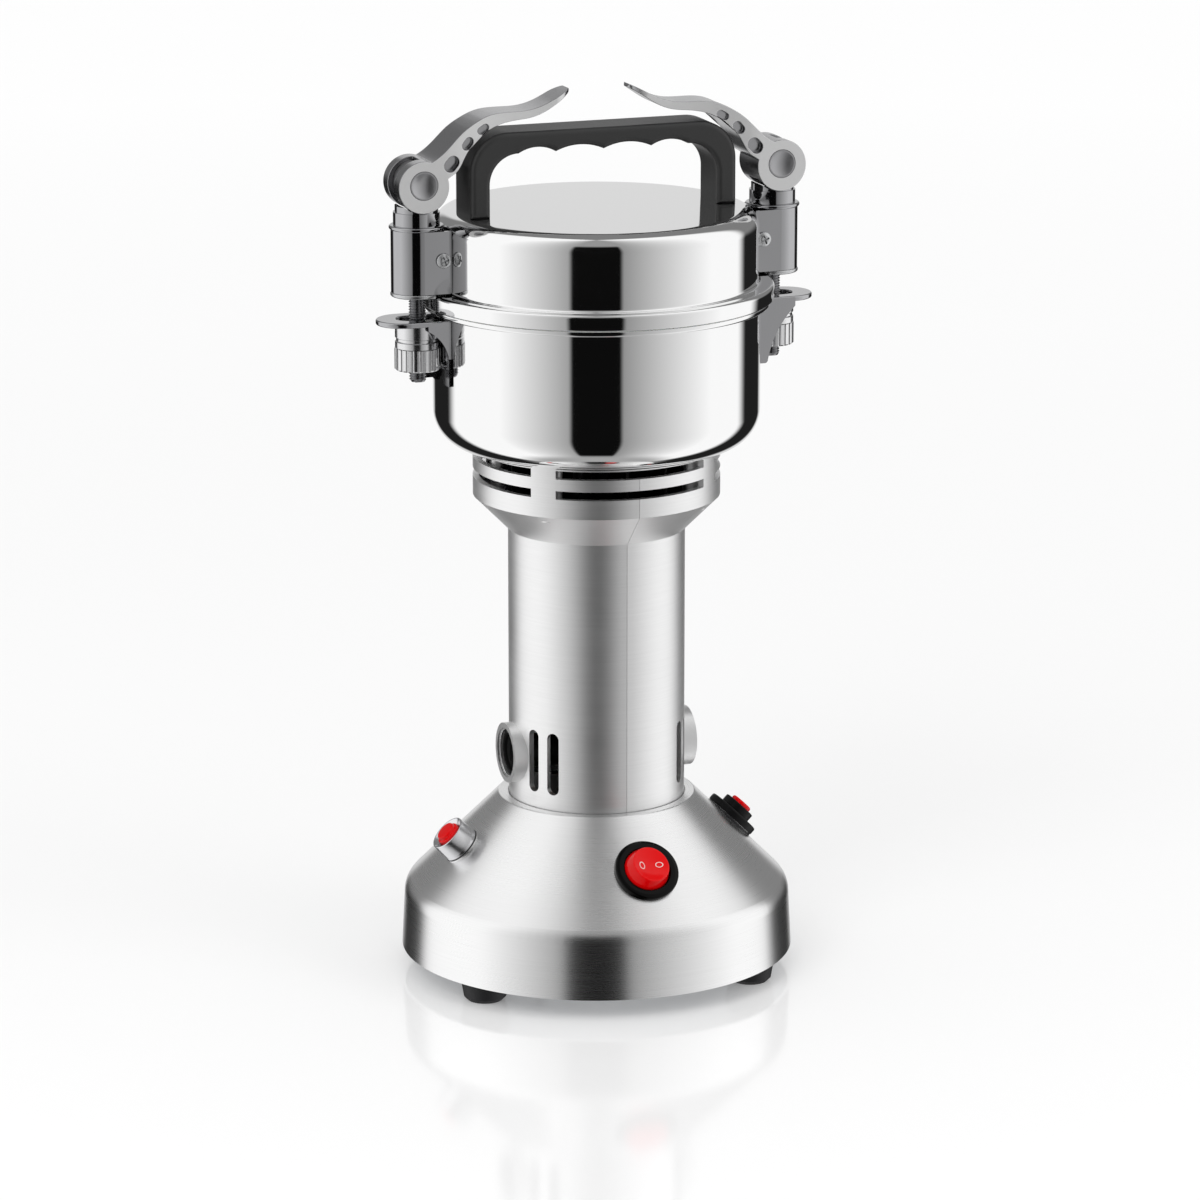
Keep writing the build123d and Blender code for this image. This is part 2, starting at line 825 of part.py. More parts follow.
# Shaft from the lower bearing up into the bowl, stepped for the blades and their nut.
lower_blade_top = lower_blade_height + blade_thickness
upper_blade_bottom = lower_blade_top + spacer_height
upper_blade_top = upper_blade_bottom + blade_thickness
shaft_top = upper_blade_top + blade_nut_height + shaft_end_length
with BuildPart() as motor_shaft:
    turn(
        Plane.XY,
        (0, lower_bearing_bottom - journal_tail),
        (journal_radius, lower_bearing_bottom - journal_tail),
        (journal_radius, lower_bearing_bottom + lower_bearing_height),
        (shaft_radius, lower_bearing_bottom + lower_bearing_height),
        (shaft_radius, lower_blade_height),
        (blade_seat_radius, lower_blade_height),
        (blade_seat_radius, upper_blade_top),
        (journal_radius, upper_blade_top),
        (journal_radius, shaft_top),
        (0, shaft_top),
    )

with BuildPart() as armature_core:
    tube(Plane.XY, shaft_radius + fit_gap, armature_radius, core_bottom, core_bottom + core_height)
    with BuildSketch(Plane.XY.offset(core_bottom)):
        with PolarLocations(armature_radius, armature_slots):
            Rectangle(2 * armature_slot_depth, armature_slot_width)
    extrude(amount=core_height, mode=Mode.SUBTRACT)

with BuildPart() as armature_windings:
    tube(Plane.XY, end_turn_inner, end_turn_radius, core_bottom - end_turn_height, core_bottom - fit_gap)
    winding_low = core_bottom + core_height + fit_gap
    tube(Plane.XY, end_turn_inner, end_turn_radius, winding_low, winding_low + end_turn_height)

with BuildPart() as commutator:
    commutator_top = commutator_bottom + commutator_height
    tube(Plane.XY, shaft_radius + fit_gap, commutator_radius, commutator_bottom, commutator_top)
    with BuildSketch(Plane.XY.offset(commutator_bottom)):
        with PolarLocations(commutator_radius, commutator_bars):
            Rectangle(2 * bar_gap_depth, bar_gap_width)
    extrude(amount=commutator_height, mode=Mode.SUBTRACT)

# Radial fan inside the slotted collar.
with BuildPart() as cooling_fan:
    bar(Plane.XY, fan_radius, fan_bottom, fan_bottom + fan_plate)
    bar(Plane.XY, fan_hub_radius, fan_bottom, fan_top)
    with BuildSketch(Plane.XY.offset(fan_bottom)):
        with PolarLocations((fan_blade_inner + fan_blade_outer) / 2, fan_blades):
            Rectangle(fan_blade_outer - fan_blade_inner, fan_blade_thickness)
    extrude(amount=fan_top - fan_bottom)
    bar(Plane.XY, shaft_radius + fit_gap, 0, fan_top + over_cut, mode=Mode.SUBTRACT)

# Blades: flat in the middle, swept up towards the tips, bevelled on the leading edges.
blades = {}
blade_table = (
    ("lower", lower_blade_height, lower_blade_reach, lower_tip_rise),
    ("upper", upper_blade_bottom, upper_blade_reach, upper_tip_rise),
)
for name, height, reach, rise in blade_table:
    with BuildPart() as blade:
        with BuildSketch(Plane.XZ):
            with BuildLine():
                Polyline(
                    (-reach, height + rise),
                    (-blade_flat, height),
                    (blade_flat, height),
                    (reach, height + rise),
                    (reach, height + rise + blade_thickness),
                    (blade_flat, height + blade_thickness),
                    (-blade_flat, height + blade_thickness),
                    (-reach, height + rise + blade_thickness),
                    close=True,
                )
            make_face()
        extrude(amount=blade_width / 2, both=True)
        with BuildSketch(Plane.XY.offset(height - over_cut)):
            with BuildLine():
                Polyline(
                    (-reach, -blade_width / 2),
                    (0, -blade_width / 2),
                    (reach, -blade_width / 8),
                    (reach, blade_width / 2),
                    (0, blade_width / 2),
                    (-reach, blade_width / 8),
                    close=True,
                )
            make_face()
        extrude(amount=rise + blade_thickness + 2 * over_cut, mode=Mode.INTERSECT)
        bar(Plane.XY, blade_seat_radius + fit_gap, 0, lid_top, mode=Mode.SUBTRACT)
        leading = blade.edges().filter_by(
            lambda edge: abs(edge.center().X) > blade_flat
            and edge.center().X * edge.center().Y < 0
            and edge.length > reach / 3
        )
        chamfer(leading.group_by(Axis.Z)[-1], blade_bevel)
    blades[name] = blade
lower_blade = blades["lower"]
upper_blade = blades["upper"]

with BuildPart() as blade_spacer:
    tube(Plane.XY, blade_seat_radius + fit_gap, spacer_radius, lower_blade_top, upper_blade_bottom)

with BuildPart() as blade_nut:
    with BuildSketch(Plane.XY.offset(upper_blade_top)):
        RegularPolygon(blade_nut_radius, 6)
        Circle(journal_radius + fit_gap, mode=Mode.SUBTRACT)
    extrude(amount=blade_nut_height)

# ======== bowl ========
# Spun bowl with a rolled lip, screwed down on the collar.
with BuildPart() as bowl:
    with BuildSketch(Plane.XZ):
        with BuildLine():
            FilletPolyline(
                (0, housing_top),
                (bowl_radius, housing_top),
                (bowl_radius, bowl_top),
                (0, bowl_top),
                radius=(bowl_round, 0),
            )
            Line((0, bowl_top), (0, housing_top))
        make_face()
    revolve(axis=Axis.Z)
    offset(amount=-bowl_wall, openings=bowl.faces().sort_by(Axis.Z)[-1])
    tube(Plane.XY, bowl_radius - bowl_wall / 2, lip_radius, bowl_top - lip_height, bowl_top)
    round_edges = bowl.edges().filter_by(GeomType.CIRCLE)
    lip_edges = round_edges.filter_by(lambda edge: edge.radius > lip_radius - fit_gap)
    fillet(lip_edges, lip_round)
    bar(Plane.XY, seal_neck_radius + fit_gap, 0, housing_top + bowl_wall + over_cut, mode=Mode.SUBTRACT)
    for turned in (rib_azimuth, 180 - rib_azimuth, -rib_azimuth, rib_azimuth - 180):
        bowl_hole = upright(*polar(post_distance, turned))
        bar(bowl_hole, screw_radius + screw_gap, 0, housing_top + bowl_wall + over_cut, mode=Mode.SUBTRACT)

bowl_floor = housing_top + bowl_wall
with BuildPart() as bowl_screws:
    for turned in (rib_azimuth, 180 - rib_azimuth, -rib_azimuth, rib_azimuth - 180):
        turn(
            upright(*polar(post_distance, turned)),
            (0, post_bottom + post_floor),
            (screw_radius, post_bottom + post_floor),
            (screw_radius, bowl_floor),
            (screw_head_radius, bowl_floor),
            (screw_head_radius, bowl_floor + screw_head_height),
            (0, bowl_floor + screw_head_height),
        )

with BuildPart() as shaft_seal:
    turn(
        Plane.XY,
        (shaft_radius + thread_gap, bowl_floor - seal_neck_length),
        (seal_neck_radius, bowl_floor - seal_neck_length),
        (seal_neck_radius, bowl_floor),
        (seal_radius, bowl_floor),
        (seal_radius - round_edge, bowl_floor + seal_height),
        (shaft_radius + thread_gap, bowl_floor + seal_height),
    )

# Brackets welded to the bowl, the same part at both sides, turned half round: a slotted ledge
# on two gussets, a long one and a short one, each with a flange that lies on the wall.
wall_seat = bowl_radius + weld_gap
ledge_top = bowl_top - ledge_drop
ledge_bottom = ledge_top - ledge_thickness
ledge_joint = ledge_top - ledge_round
gusset_bottom = ledge_bottom - gusset_length
gusset_start = wall_seat / 2
with BuildPart() as bowl_brackets:
    with BuildSketch(Plane.XY.offset(ledge_bottom)):
        for side in both_sides:
            tip_centre = latch_radius + ledge_overhang - ledge_half_width
            slot_centre = latch_radius + ledge_slot_overhang - ledge_slot_width / 2
            with Locations((side * tip_centre / 2, 0)):
                Rectangle(tip_centre, 2 * ledge_half_width)
            with Locations((side * tip_centre, 0)):
                Circle(ledge_half_width)
            with Locations((side * slot_centre / 2, 0)):
                Rectangle(slot_centre, ledge_slot_width, mode=Mode.SUBTRACT)
            with Locations((side * slot_centre, 0)):
                Circle(ledge_slot_width / 2, mode=Mode.SUBTRACT)
    extrude(amount=ledge_thickness)
    fillet(bowl_brackets.faces().filter_by(Axis.Z).edges(), ledge_round)
    for side in both_sides:
        with BuildSketch(Plane.XZ.offset(side * ledge_half_width - (side + 1) / 2 * gusset_thickness)):
            reach = wall_seat + long_gusset_reach
            toe = wall_seat + long_gusset_toe
            bow = (wall_seat + long_gusset_bow, ledge_bottom - long_gusset_bow_drop)
            corner = toe_round * (1 - cos(radians(45)))
            with BuildLine():
                Line((side * gusset_start, ledge_joint), (side * gusset_start, gusset_bottom))
                Line((side * gusset_start, gusset_bottom), (side * (toe - toe_round), gusset_bottom))
                ThreePointArc(
                    (side * (toe - toe_round), gusset_bottom),
                    (side * (toe - corner), gusset_bottom + corner),
                    (side * toe, gusset_bottom + toe_round),
                )
                ThreePointArc(
                    (side * toe, gusset_bottom + toe_round),
                    (side * bow[0], bow[1]),
                    (side * reach, ledge_bottom - gusset_edge),
                )
                Line((side * reach, ledge_bottom - gusset_edge), (side * reach, ledge_joint))
                Line((side * reach, ledge_joint), (side * gusset_start, ledge_joint))
            make_face()
        extrude(amount=gusset_thickness)
        with BuildSketch(Plane.XZ.offset(-side * ledge_half_width + (side - 1) / 2 * gusset_thickness)):
            reach = wall_seat + short_gusset_reach
            fold = ledge_bottom - short_gusset_length
            bow = (wall_seat + short_gusset_bow, ledge_bottom - short_gusset_bow_drop)
            with BuildLine():
                Line((side * gusset_start, ledge_joint), (side * gusset_start, fold))
                Line((side * gusset_start, fold), (side * wall_seat, fold))
                ThreePointArc(
                    (side * wall_seat, fold),
                    (side * bow[0], bow[1]),
                    (side * reach, ledge_bottom - gusset_edge),
                )
                Line((side * reach, ledge_bottom - gusset_edge), (side * reach, ledge_joint))
                Line((side * reach, ledge_joint), (side * gusset_start, ledge_joint))
            make_face()
        extrude(amount=gusset_thickness)
    bar(Plane.XY, wall_seat, housing_top, lid_top, mode=Mode.SUBTRACT)
    flange_outer = wall_seat + weld_flange_thickness
    for side in both_sides:
        for row in both_sides:
            middle = side * 90 + row * (weld_flange_start + weld_flange_end) / 2
            flange_arc = weld_flange_end - weld_flange_start
            arc_block(wall_seat, flange_outer, gusset_bottom, ledge_bottom, middle, flange_arc)
    for side in both_sides:
        for row in both_sides:
            azimuth = side * 90 + row * flange_hole_azimuth
            outward = polar(1, azimuth)
            hole = Plane(
                origin=polar(wall_seat, azimuth, ledge_bottom - flange_hole_drop),
                x_dir=(0, 0, 1),
                z_dir=outward,
            )
            bar(hole, flange_hole_radius, -over_cut, over_cut + weld_flange_thickness, mode=Mode.SUBTRACT)

# Cups welded under the ledges: each traps the head of its knurled nut.
head_top = ledge_bottom - cup_roof
head_bottom = head_top - nut_head_height
nut_top = head_bottom - nut_neck_height
nut_bottom = nut_top - nut_height
rod_bottom = nut_bottom - rod_tail
cup_bottom = nut_top + nut_gap
waist_bottom = head_bottom - cup_waist_height / 2
with BuildPart() as nut_cups:
    for side in both_sides:
        turn(
            upright(side * latch_radius, 0),
            (nut_neck_radius + nut_gap, cup_bottom),
            (cup_radius, cup_bottom),
            (cup_radius, waist_bottom),
            (cup_radius - cup_waist, waist_bottom + cup_waist),
            (cup_radius - cup_waist, waist_bottom + cup_waist_height),
            (cup_radius, waist_bottom + cup_waist_height + cup_waist),
            (cup_radius, ledge_bottom),
            (rod_radius + rod_gap, ledge_bottom),
            (rod_radius + rod_gap, head_top + nut_gap),
            (nut_head_radius + nut_gap, head_top + nut_gap),
            (nut_head_radius + nut_gap, head_bottom - nut_gap),
            (nut_neck_radius + nut_gap, head_bottom - nut_gap),
        )

# Knurled nuts, free to spin in their cups.
knurled_nuts = {}
for side in both_sides:
    with BuildPart() as nut:
        turn(
            upright(side * latch_radius, 0),
            (rod_radius + thread_gap, nut_bottom),
            (nut_radius - round_edge, nut_bottom),
            (nut_radius, nut_bottom + round_edge),
            (nut_radius, nut_top),
            (nut_neck_radius, nut_top),
            (nut_neck_radius, head_bottom),
            (nut_head_radius, head_bottom),
            (nut_head_radius, head_top),
            (rod_radius + thread_gap, head_top),
        )
        with BuildSketch(upright(side * latch_radius, 0, nut_bottom)):
            with PolarLocations(nut_radius + flute_radius / 3, nut_flutes):
                Circle(flute_radius)
        extrude(amount=nut_height, mode=Mode.SUBTRACT)
    knurled_nuts[side] = nut
knurled_nut_left = knurled_nuts[-1]
knurled_nut_right = knurled_nuts[1]

# ======== lid ========
band_bottom = bowl_top + lid_lift_gap

# Spun lid with an upright wall and a rim band that caps the bowl's lip.
with BuildPart() as lid_shell:
    with BuildSketch(Plane.XZ):
        with BuildLine():
            FilletPolyline(
                (0, band_bottom),
                (band_radius, band_bottom),
                (band_radius, band_top),
                (lid_radius, band_top),
                (lid_radius, lid_top),
                (0, lid_top),
                radius=(0, band_round, foot_of_wall_round, lid_round),
            )
            Line((0, lid_top), (0, band_bottom))
        make_face()
    revolve(axis=Axis.Z)
    offset(amount=-lid_wall, openings=lid_shell.faces().sort_by(Axis.Z)[0])
    for side in both_sides:
        for row in both_sides:
            grip_hole = upright(side * (grip_half - grip_leg / 2), row * grip_screw_y)
            bar(grip_hole, screw_radius + screw_gap, band_top, lid_top + over_cut, mode=Mode.SUBTRACT)

with BuildPart() as lid_seal:
    seal_outer = band_radius - lid_wall - seal_ring_gap
    seal_inner = seal_outer - seal_ring_width
    seal_top = band_top - lid_wall - seal_ring_gap
    turn(
        Plane.XY,
        (seal_inner, band_bottom),
        (seal_outer, band_bottom),
        (seal_outer, seal_top - round_edge),
        (seal_outer - round_edge, seal_top),
        (seal_inner, seal_top),
    )

# Moulded grip standing on the lid plate, with finger scallops underneath.
inner_x = grip_half - grip_leg
scallop_roof = grip_roof + scallop_depth
with BuildPart() as grip:
    with BuildSketch(Plane.XZ) as grip_profile:
        with BuildLine():
            FilletPolyline(
                (-grip_half, lid_top),
                (-grip_half, grip_top),
                (grip_half, grip_top),
                (grip_half, lid_top),
                radius=grip_outer_round,
            )
            for side in both_sides:
                Line((side * grip_half, lid_top), (side * inner_x, lid_top))
                Line((side * inner_x, lid_top), (side * inner_x, grip_roof - grip_inner_round))
                TangentArc(
                    (side * inner_x, grip_roof - grip_inner_round),
                    (side * (inner_x - grip_inner_round), grip_roof),
                    tangent=(0, 1),
                )
            stops = (grip_inner_round - inner_x, -ridge_pitch, 0, ridge_pitch, inner_x - grip_inner_round)
            for start, end in zip(stops, stops[1:]):
                ThreePointArc((start, grip_roof), ((start + end) / 2, scallop_roof), (end, grip_roof))
        make_face()
        ridges = grip_profile.vertices().filter_by(
            lambda corner: abs(corner.Z - grip_roof) < fit_gap and abs(corner.X) < ridge_pitch + over_cut
        )
        fillet(ridges, ridge_round)
    extrude(amount=grip_width / 2, both=True)
    grip_faces = grip.faces().sort_by(Axis.Y)
    fillet(grip_faces[0].edges() + grip_faces[-1].edges(), grip_edge_round)
    for side in both_sides:
        for row in both_sides:
            grip_bore = upright(side * (grip_half - grip_leg / 2), row * grip_screw_y)
            bore_end = lid_top + grip_screw_length + over_cut
            bar(grip_bore, screw_radius + fit_gap, 0, bore_end, mode=Mode.SUBTRACT)

with BuildPart() as grip_screws:
    lid_under = lid_top - lid_wall
    for side in both_sides:
        for row in both_sides:
            turn(
                upright(side * (grip_half - grip_leg / 2), row * grip_screw_y),
                (0, lid_under - screw_head_height),
                (screw_head_radius, lid_under - screw_head_height),
                (screw_head_radius, lid_under),
                (screw_radius, lid_under),
                (screw_radius, lid_top + grip_screw_length),
                (0, lid_top + grip_screw_length),
            )

# ======== clamps ========
lid_seat = lid_radius + weld_gap
screw_rows = [(side, row) for side in both_sides for row in both_sides]

# Bent sheet brackets round the rods, welded to the lid wall.
with BuildPart() as lid_brackets:
    with BuildSketch(Plane.XY.offset(bracket_bottom)):
        for side in both_sides:
            with Locations((side * latch_radius / 2, 0)):
                Rectangle(latch_radius, 2 * bracket_radius)
            with Locations((side * latch_radius, 0)):
                Circle(bracket_radius)
            with Locations((side * latch_radius / 2, 0)):
                Rectangle(latch_radius, 2 * (bracket_radius - bracket_wall), mode=Mode.SUBTRACT)
            with Locations((side * latch_radius, 0)):
                Circle(bracket_radius - bracket_wall, mode=Mode.SUBTRACT)
        Circle(lid_seat, mode=Mode.SUBTRACT)
    extrude(amount=ring_bottom - bracket_bottom)
    for side, row in screw_rows:
        across = Plane(
            origin=(side * bracket_screw_distance, 0, bracket_screw_height),
            x_dir=(1, 0, 0),
            z_dir=(0, row, 0),
        )
        bar(across, bracket_screw_radius + fit_gap, 0, bracket_radius + over_cut, mode=Mode.SUBTRACT)

# Blocks inside the brackets that guide the rods and take the bracket screws.
with BuildPart() as guide_blocks:
    guide_radius = bracket_radius - bracket_wall - guide_gap
    with BuildSketch(Plane.XY.offset(bracket_bottom + guide_inset)):
        for side in both_sides:
            with Locations((side * latch_radius / 2, 0)):
                Rectangle(latch_radius, 2 * guide_radius)
            with Locations((side * latch_radius, 0)):
                Circle(guide_radius)
                Circle(rod_radius + rod_gap, mode=Mode.SUBTRACT)
        Circle(lid_seat, mode=Mode.SUBTRACT)
    extrude(amount=ring_bottom - bracket_bottom - 2 * guide_inset)
    for side, row in screw_rows:
        across = Plane(
            origin=(side * bracket_screw_distance, 0, bracket_screw_height),
            x_dir=(1, 0, 0),
            z_dir=(0, row, 0),
        )
        screw_start = bracket_radius - bracket_screw_length - over_cut
        bar(across, bracket_screw_radius + fit_gap, screw_start, bracket_radius, mode=Mode.SUBTRACT)

with BuildPart() as bracket_screws:
    for side, row in screw_rows:
        turn(
            Plane(
                origin=(side * bracket_screw_distance, row * bracket_radius, bracket_screw_height),
                x_dir=(1, 0, 0),
                z_dir=(0, row, 0),
            ),
            (0, -bracket_screw_length),
            (bracket_screw_radius, -bracket_screw_length),
            (bracket_screw_radius, 0),
            (bracket_screw_head, 0),
            (bracket_screw_head, bracket_screw_dome / 2),
            (bracket_screw_radius, bracket_screw_dome),
            (0, bracket_screw_dome),
        )

with BuildPart() as low_washers:
    for side in both_sides:
        tube(
            upright(side * latch_radius, 0),
            rod_radius + rod_gap,
            low_washer_radius,
            bracket_bottom - low_washer_thickness,
            bracket_bottom,
        )
    washer_edges = low_washers.edges().filter_by(GeomType.CIRCLE).filter_by(
        lambda edge: edge.radius > low_washer_radius - fit_gap
    )
    fillet(washer_edges, ring_round)
    bar(Plane.XY, band_radius + low_washer_gap, housing_top, lid_top, mode=Mode.SUBTRACT)

# Rings on top of the brackets, cut back where the lid's shoulder bulges past them.
shoulder_drop = lid_round - (lid_top - ring_bottom)
shoulder_radius = lid_radius - lid_round + sqrt(lid_round**2 - shoulder_drop**2)
with BuildPart() as upper_rings:
    for side in both_sides:
        rod_axis = upright(side * latch_radius, 0)
        tube(rod_axis, rod_radius + rod_gap, ring_radius, ring_bottom, cam_washer_bottom)
    ring_edges = upper_rings.edges().filter_by(GeomType.CIRCLE).filter_by(
        lambda edge: edge.radius > ring_radius - fit_gap
    )
    fillet(ring_edges, ring_round)
    bar(Plane.XY, shoulder_radius + ring_gap, housing_top, lid_top, mode=Mode.SUBTRACT)

# Cam washers: a ring with a saddle on top that cradles the lever's eye.
cam_height = pivot_height - cam_offset
with BuildPart() as cam_washers:
    for side in both_sides:
        rod_axis = upright(side * latch_radius, 0)
        washer_top = cam_washer_bottom + cam_washer_height
        saddle_top = cam_washer_bottom + saddle_height
        tube(rod_axis, rod_radius + rod_gap, cam_washer_radius, cam_washer_bottom, washer_top)
        tube(rod_axis, rod_radius + rod_gap, saddle_radius, cam_washer_bottom, saddle_top)
    for side in both_sides:
        cam_axis = Plane(origin=(side * latch_radius, 0, cam_height), x_dir=(1, 0, 0), z_dir=(0, -1, 0))
        saddle_width = 2 * cam_washer_radius
        bar(cam_axis, ear_radius + saddle_gap, -saddle_width, saddle_width, mode=Mode.SUBTRACT)

with BuildPart() as clamp_rods:
    for side in both_sides:
        turn(
            upright(side * latch_radius, 0),
            (0, rod_bottom),
            (rod_radius - round_edge, rod_bottom),
            (rod_radius, rod_bottom + round_edge),
            (rod_radius, pivot_height),
            (0, pivot_height),
        )

# Barrels that the rods screw into and the levers turn on, dished at both ends.
with BuildPart() as cam_barrels:
    for side in both_sides:
        pin_axis = Plane(origin=(side * latch_radius, 0, pivot_height), x_dir=(1, 0, 0), z_dir=(0, -1, 0))
        half_width = lever_width / 2
        drum_half = lever_slot / 2 - drum_gap
        turn(
            pin_axis,
            (0, -half_width),
            (pin_radius, -half_width),
            (pin_radius, -drum_half),
            (drum_radius, -drum_half),
            (drum_radius, drum_half),
            (pin_radius, drum_half),
            (pin_radius, half_width),
            (0, half_width),
        )
        dish_ball = (pin_dish_radius**2 + pin_dish_depth**2) / (2 * pin_dish_depth)
        for row in both_sides:
            dish_centre = row * (half_width - pin_dish_depth + dish_ball)
            with Locations((side * latch_radius, dish_centre, pivot_height)):
                Sphere(dish_ball, mode=Mode.SUBTRACT)
        socket = upright(side * latch_radius, 0)
        bar(socket, rod_radius + fit_gap, rod_bottom, pivot_height + fit_gap, mode=Mode.SUBTRACT)

# Cam levers: forked eye, hollowed arm that rises over the lid, rounded thumb paddle.
levers = {}
for side in both_sides:
    with BuildPart() as lever:
        with BuildSketch(Plane.XZ):
            with BuildLine():
                upper = [(side * (latch_radius - d), pivot_height + h) for d, h in arm_upper]
                lower = [(side * (latch_radius - d), pivot_height + h) for d, h in arm_lower]
                Spline(*upper)
                Spline(*lower)
                Line(upper[0], lower[0])
                Line(upper[-1], lower[-1])
            make_face()
            with Locations((side * latch_radius, cam_height)):
                Circle(ear_radius)
        extrude(amount=lever_width / 2, both=True)
        with BuildSketch(Plane.XY.offset(pivot_height - 2 * ear_radius)):
            with BuildLine():
                paddle_centre = side * (latch_radius - arm_reach + paddle_radius)
                near = [(side * (latch_radius - d), half) for d, half in plan_steps]
                far = [(x, -half) for x, half in near]
                outer_x = side * (latch_radius + 2 * ear_radius)
                Line((outer_x, lever_width / 2), near[0])
                Line((outer_x, -lever_width / 2), far[0])
                Line((outer_x, lever_width / 2), (outer_x, -lever_width / 2))
                Spline(*near, (paddle_centre, paddle_radius), tangents=((-side, 0), (-side, 0)))
                Spline(*far, (paddle_centre, -paddle_radius), tangents=((-side, 0), (-side, 0)))
                ThreePointArc(
                    (paddle_centre, paddle_radius),
                    (paddle_centre - side * paddle_radius, 0),
                    (paddle_centre, -paddle_radius),
                )
            make_face()
        extrude(amount=4 * ear_radius + arm_upper[-1][1], mode=Mode.INTERSECT)
        with BuildSketch(Plane.XZ.offset(-lever_slot / 2)):
            with BuildLine():
                slot_end = drum_radius + drum_gap
                slot_low = pivot_height + slot_end
                slot_high = slot_low + slot_end
                Line((side * latch_radius, slot_low), (outer_x, slot_low))
                Line((outer_x, slot_high), (outer_x, slot_low))
                Line((outer_x, slot_high), (side * latch_radius, slot_high))
                Line((side * latch_radius, slot_low), (side * latch_radius, slot_high))
            make_face()
            with Locations((side * (latch_radius + ear_radius), pivot_height)):
                Rectangle(2 * ear_radius, 4 * ear_radius)
            with Locations((side * latch_radius, pivot_height)):
                Circle(slot_end)
            with Locations((side * latch_radius, pivot_height - ear_radius)):
                Rectangle(2 * slot_end, 2 * ear_radius)
        extrude(amount=lever_slot, mode=Mode.SUBTRACT)
        eye_axis = Plane(origin=(side * latch_radius, 0, pivot_height), x_dir=(1, 0, 0), z_dir=(0, -1, 0))
        bar(eye_axis, pin_radius + pin_gap, -lever_width, lever_width, mode=Mode.SUBTRACT)
        for row in both_sides:
            pocket_plane = Plane(origin=(0, row * pocket_floor, 0), x_dir=(1, 0, 0), z_dir=(0, -1, 0))
            with BuildSketch(pocket_plane):
                for d, h, length, height, slope in arm_pockets:
                    with Locations((side * (latch_radius - d), pivot_height + h)):
                        SlotOverall(length, height, rotation=-side * slope)
            extrude(amount=-row * lever_width, mode=Mode.SUBTRACT)
    levers[side] = lever
lever_left = levers[-1]
lever_right = levers[1]

# ======== controls ========
switch_plane = cone_plane(front)
pivot_plane = cone_plane(front, rocker_pivot_rise)

# Switch body: black frame with a raised ring, round well and the part behind the panel.
with BuildPart() as switch_body:
    bezel_top = pad_rise + bezel_height
    turn(
        switch_plane,
        (0, -switch_body_depth),
        (switch_body_radius, -switch_body_depth),
        (switch_body_radius, pad_rise),
        (bezel_radius, pad_rise),
        (bezel_radius, bezel_top - bezel_chamfer),
        (bezel_radius - bezel_chamfer, bezel_top),
        (bezel_lip_radius, bezel_top),
        (bezel_lip_radius - round_edge, bezel_top + bezel_lip_height),
        (well_radius, bezel_top + bezel_lip_height),
        (well_radius, -well_depth),
        (0, -well_depth),
    )
    trunnion_axis = Plane(origin=pivot_plane.origin, x_dir=pivot_plane.x_dir, z_dir=pivot_plane.y_dir)
    hole_reach = trunnion_reach + trunnion_gap
    bar(trunnion_axis, trunnion_radius + trunnion_gap, -hole_reach, hole_reach, mode=Mode.SUBTRACT)

# Round rocker with a dished top, stored with its right half pressed.
tilt = radians(rocker_tilt)
across = pivot_plane.x_dir * cos(tilt) - pivot_plane.z_dir * sin(tilt)
outward = pivot_plane.z_dir * cos(tilt) + pivot_plane.x_dir * sin(tilt)
rocker_plane = Plane(origin=pivot_plane.origin, x_dir=across, z_dir=outward)
rocker_section = Plane(origin=pivot_plane.origin, x_dir=across, z_dir=-rocker_plane.y_dir)
with BuildPart() as rocker:
    rocker_edge = rocker_crown + rocker_radius * sin(tilt)
    with BuildSketch(rocker_section):
        with BuildLine():
            Polyline(
                (-rocker_radius, rocker_edge),
                (-rocker_radius, -rocker_depth),
                (rocker_radius, -rocker_depth),
                (rocker_radius, rocker_edge),
            )
            ThreePointArc((rocker_radius, rocker_edge), (0, rocker_crown), (-rocker_radius, rocker_edge))
        make_face()
    extrude(amount=rocker_radius, both=True)
    bar(rocker_plane, rocker_radius, -rocker_ball, rocker_ball, mode=Mode.INTERSECT)
    with Locations(rocker_plane.origin):
        Sphere(rocker_ball, mode=Mode.INTERSECT)
    bar(trunnion_axis, trunnion_radius, -trunnion_reach, trunnion_reach)

# Reset button: gasket, chromed cup with a funnel mouth, and its sprung plunger.
reset_plane = cone_plane(left)
gasket_top = pad_rise + reset_gasket_height
with BuildPart() as reset_gasket:
    tube(reset_plane, reset_barrel_radius + fit_gap, reset_gasket_radius, pad_rise, gasket_top)

with BuildPart() as reset_collar:
    button_bore = reset_button_radius + button_gap
    flange_height = gasket_top + reset_flange_height
    turn(
        reset_plane,
        (button_bore, -reset_barrel_depth),
        (reset_barrel_radius, -reset_barrel_depth),
        (reset_barrel_radius, gasket_top),
        (reset_flange_radius, gasket_top),
        (reset_flange_radius, flange_height),
        (reset_cup_radius, flange_height),
        (reset_cup_radius, reset_cup_height),
        (reset_mouth_radius, reset_cup_height),
        (button_bore, reset_funnel_height),
    )

with BuildPart() as reset_button:
    flange_top_height = -reset_barrel_depth - button_gap
    turn(
        reset_plane,
        (0, flange_top_height - button_flange_height),
        (reset_barrel_radius, flange_top_height - button_flange_height),
        (reset_barrel_radius, flange_top_height),
        (reset_button_radius, flange_top_height),
        (reset_button_radius, reset_button_height - round_edge),
        (reset_button_radius - round_edge, reset_button_height),
        (button_rim_radius, reset_button_height),
        (button_rim_radius, reset_button_height - button_rim_depth),
        (0, reset_button_height - button_rim_depth),
    )

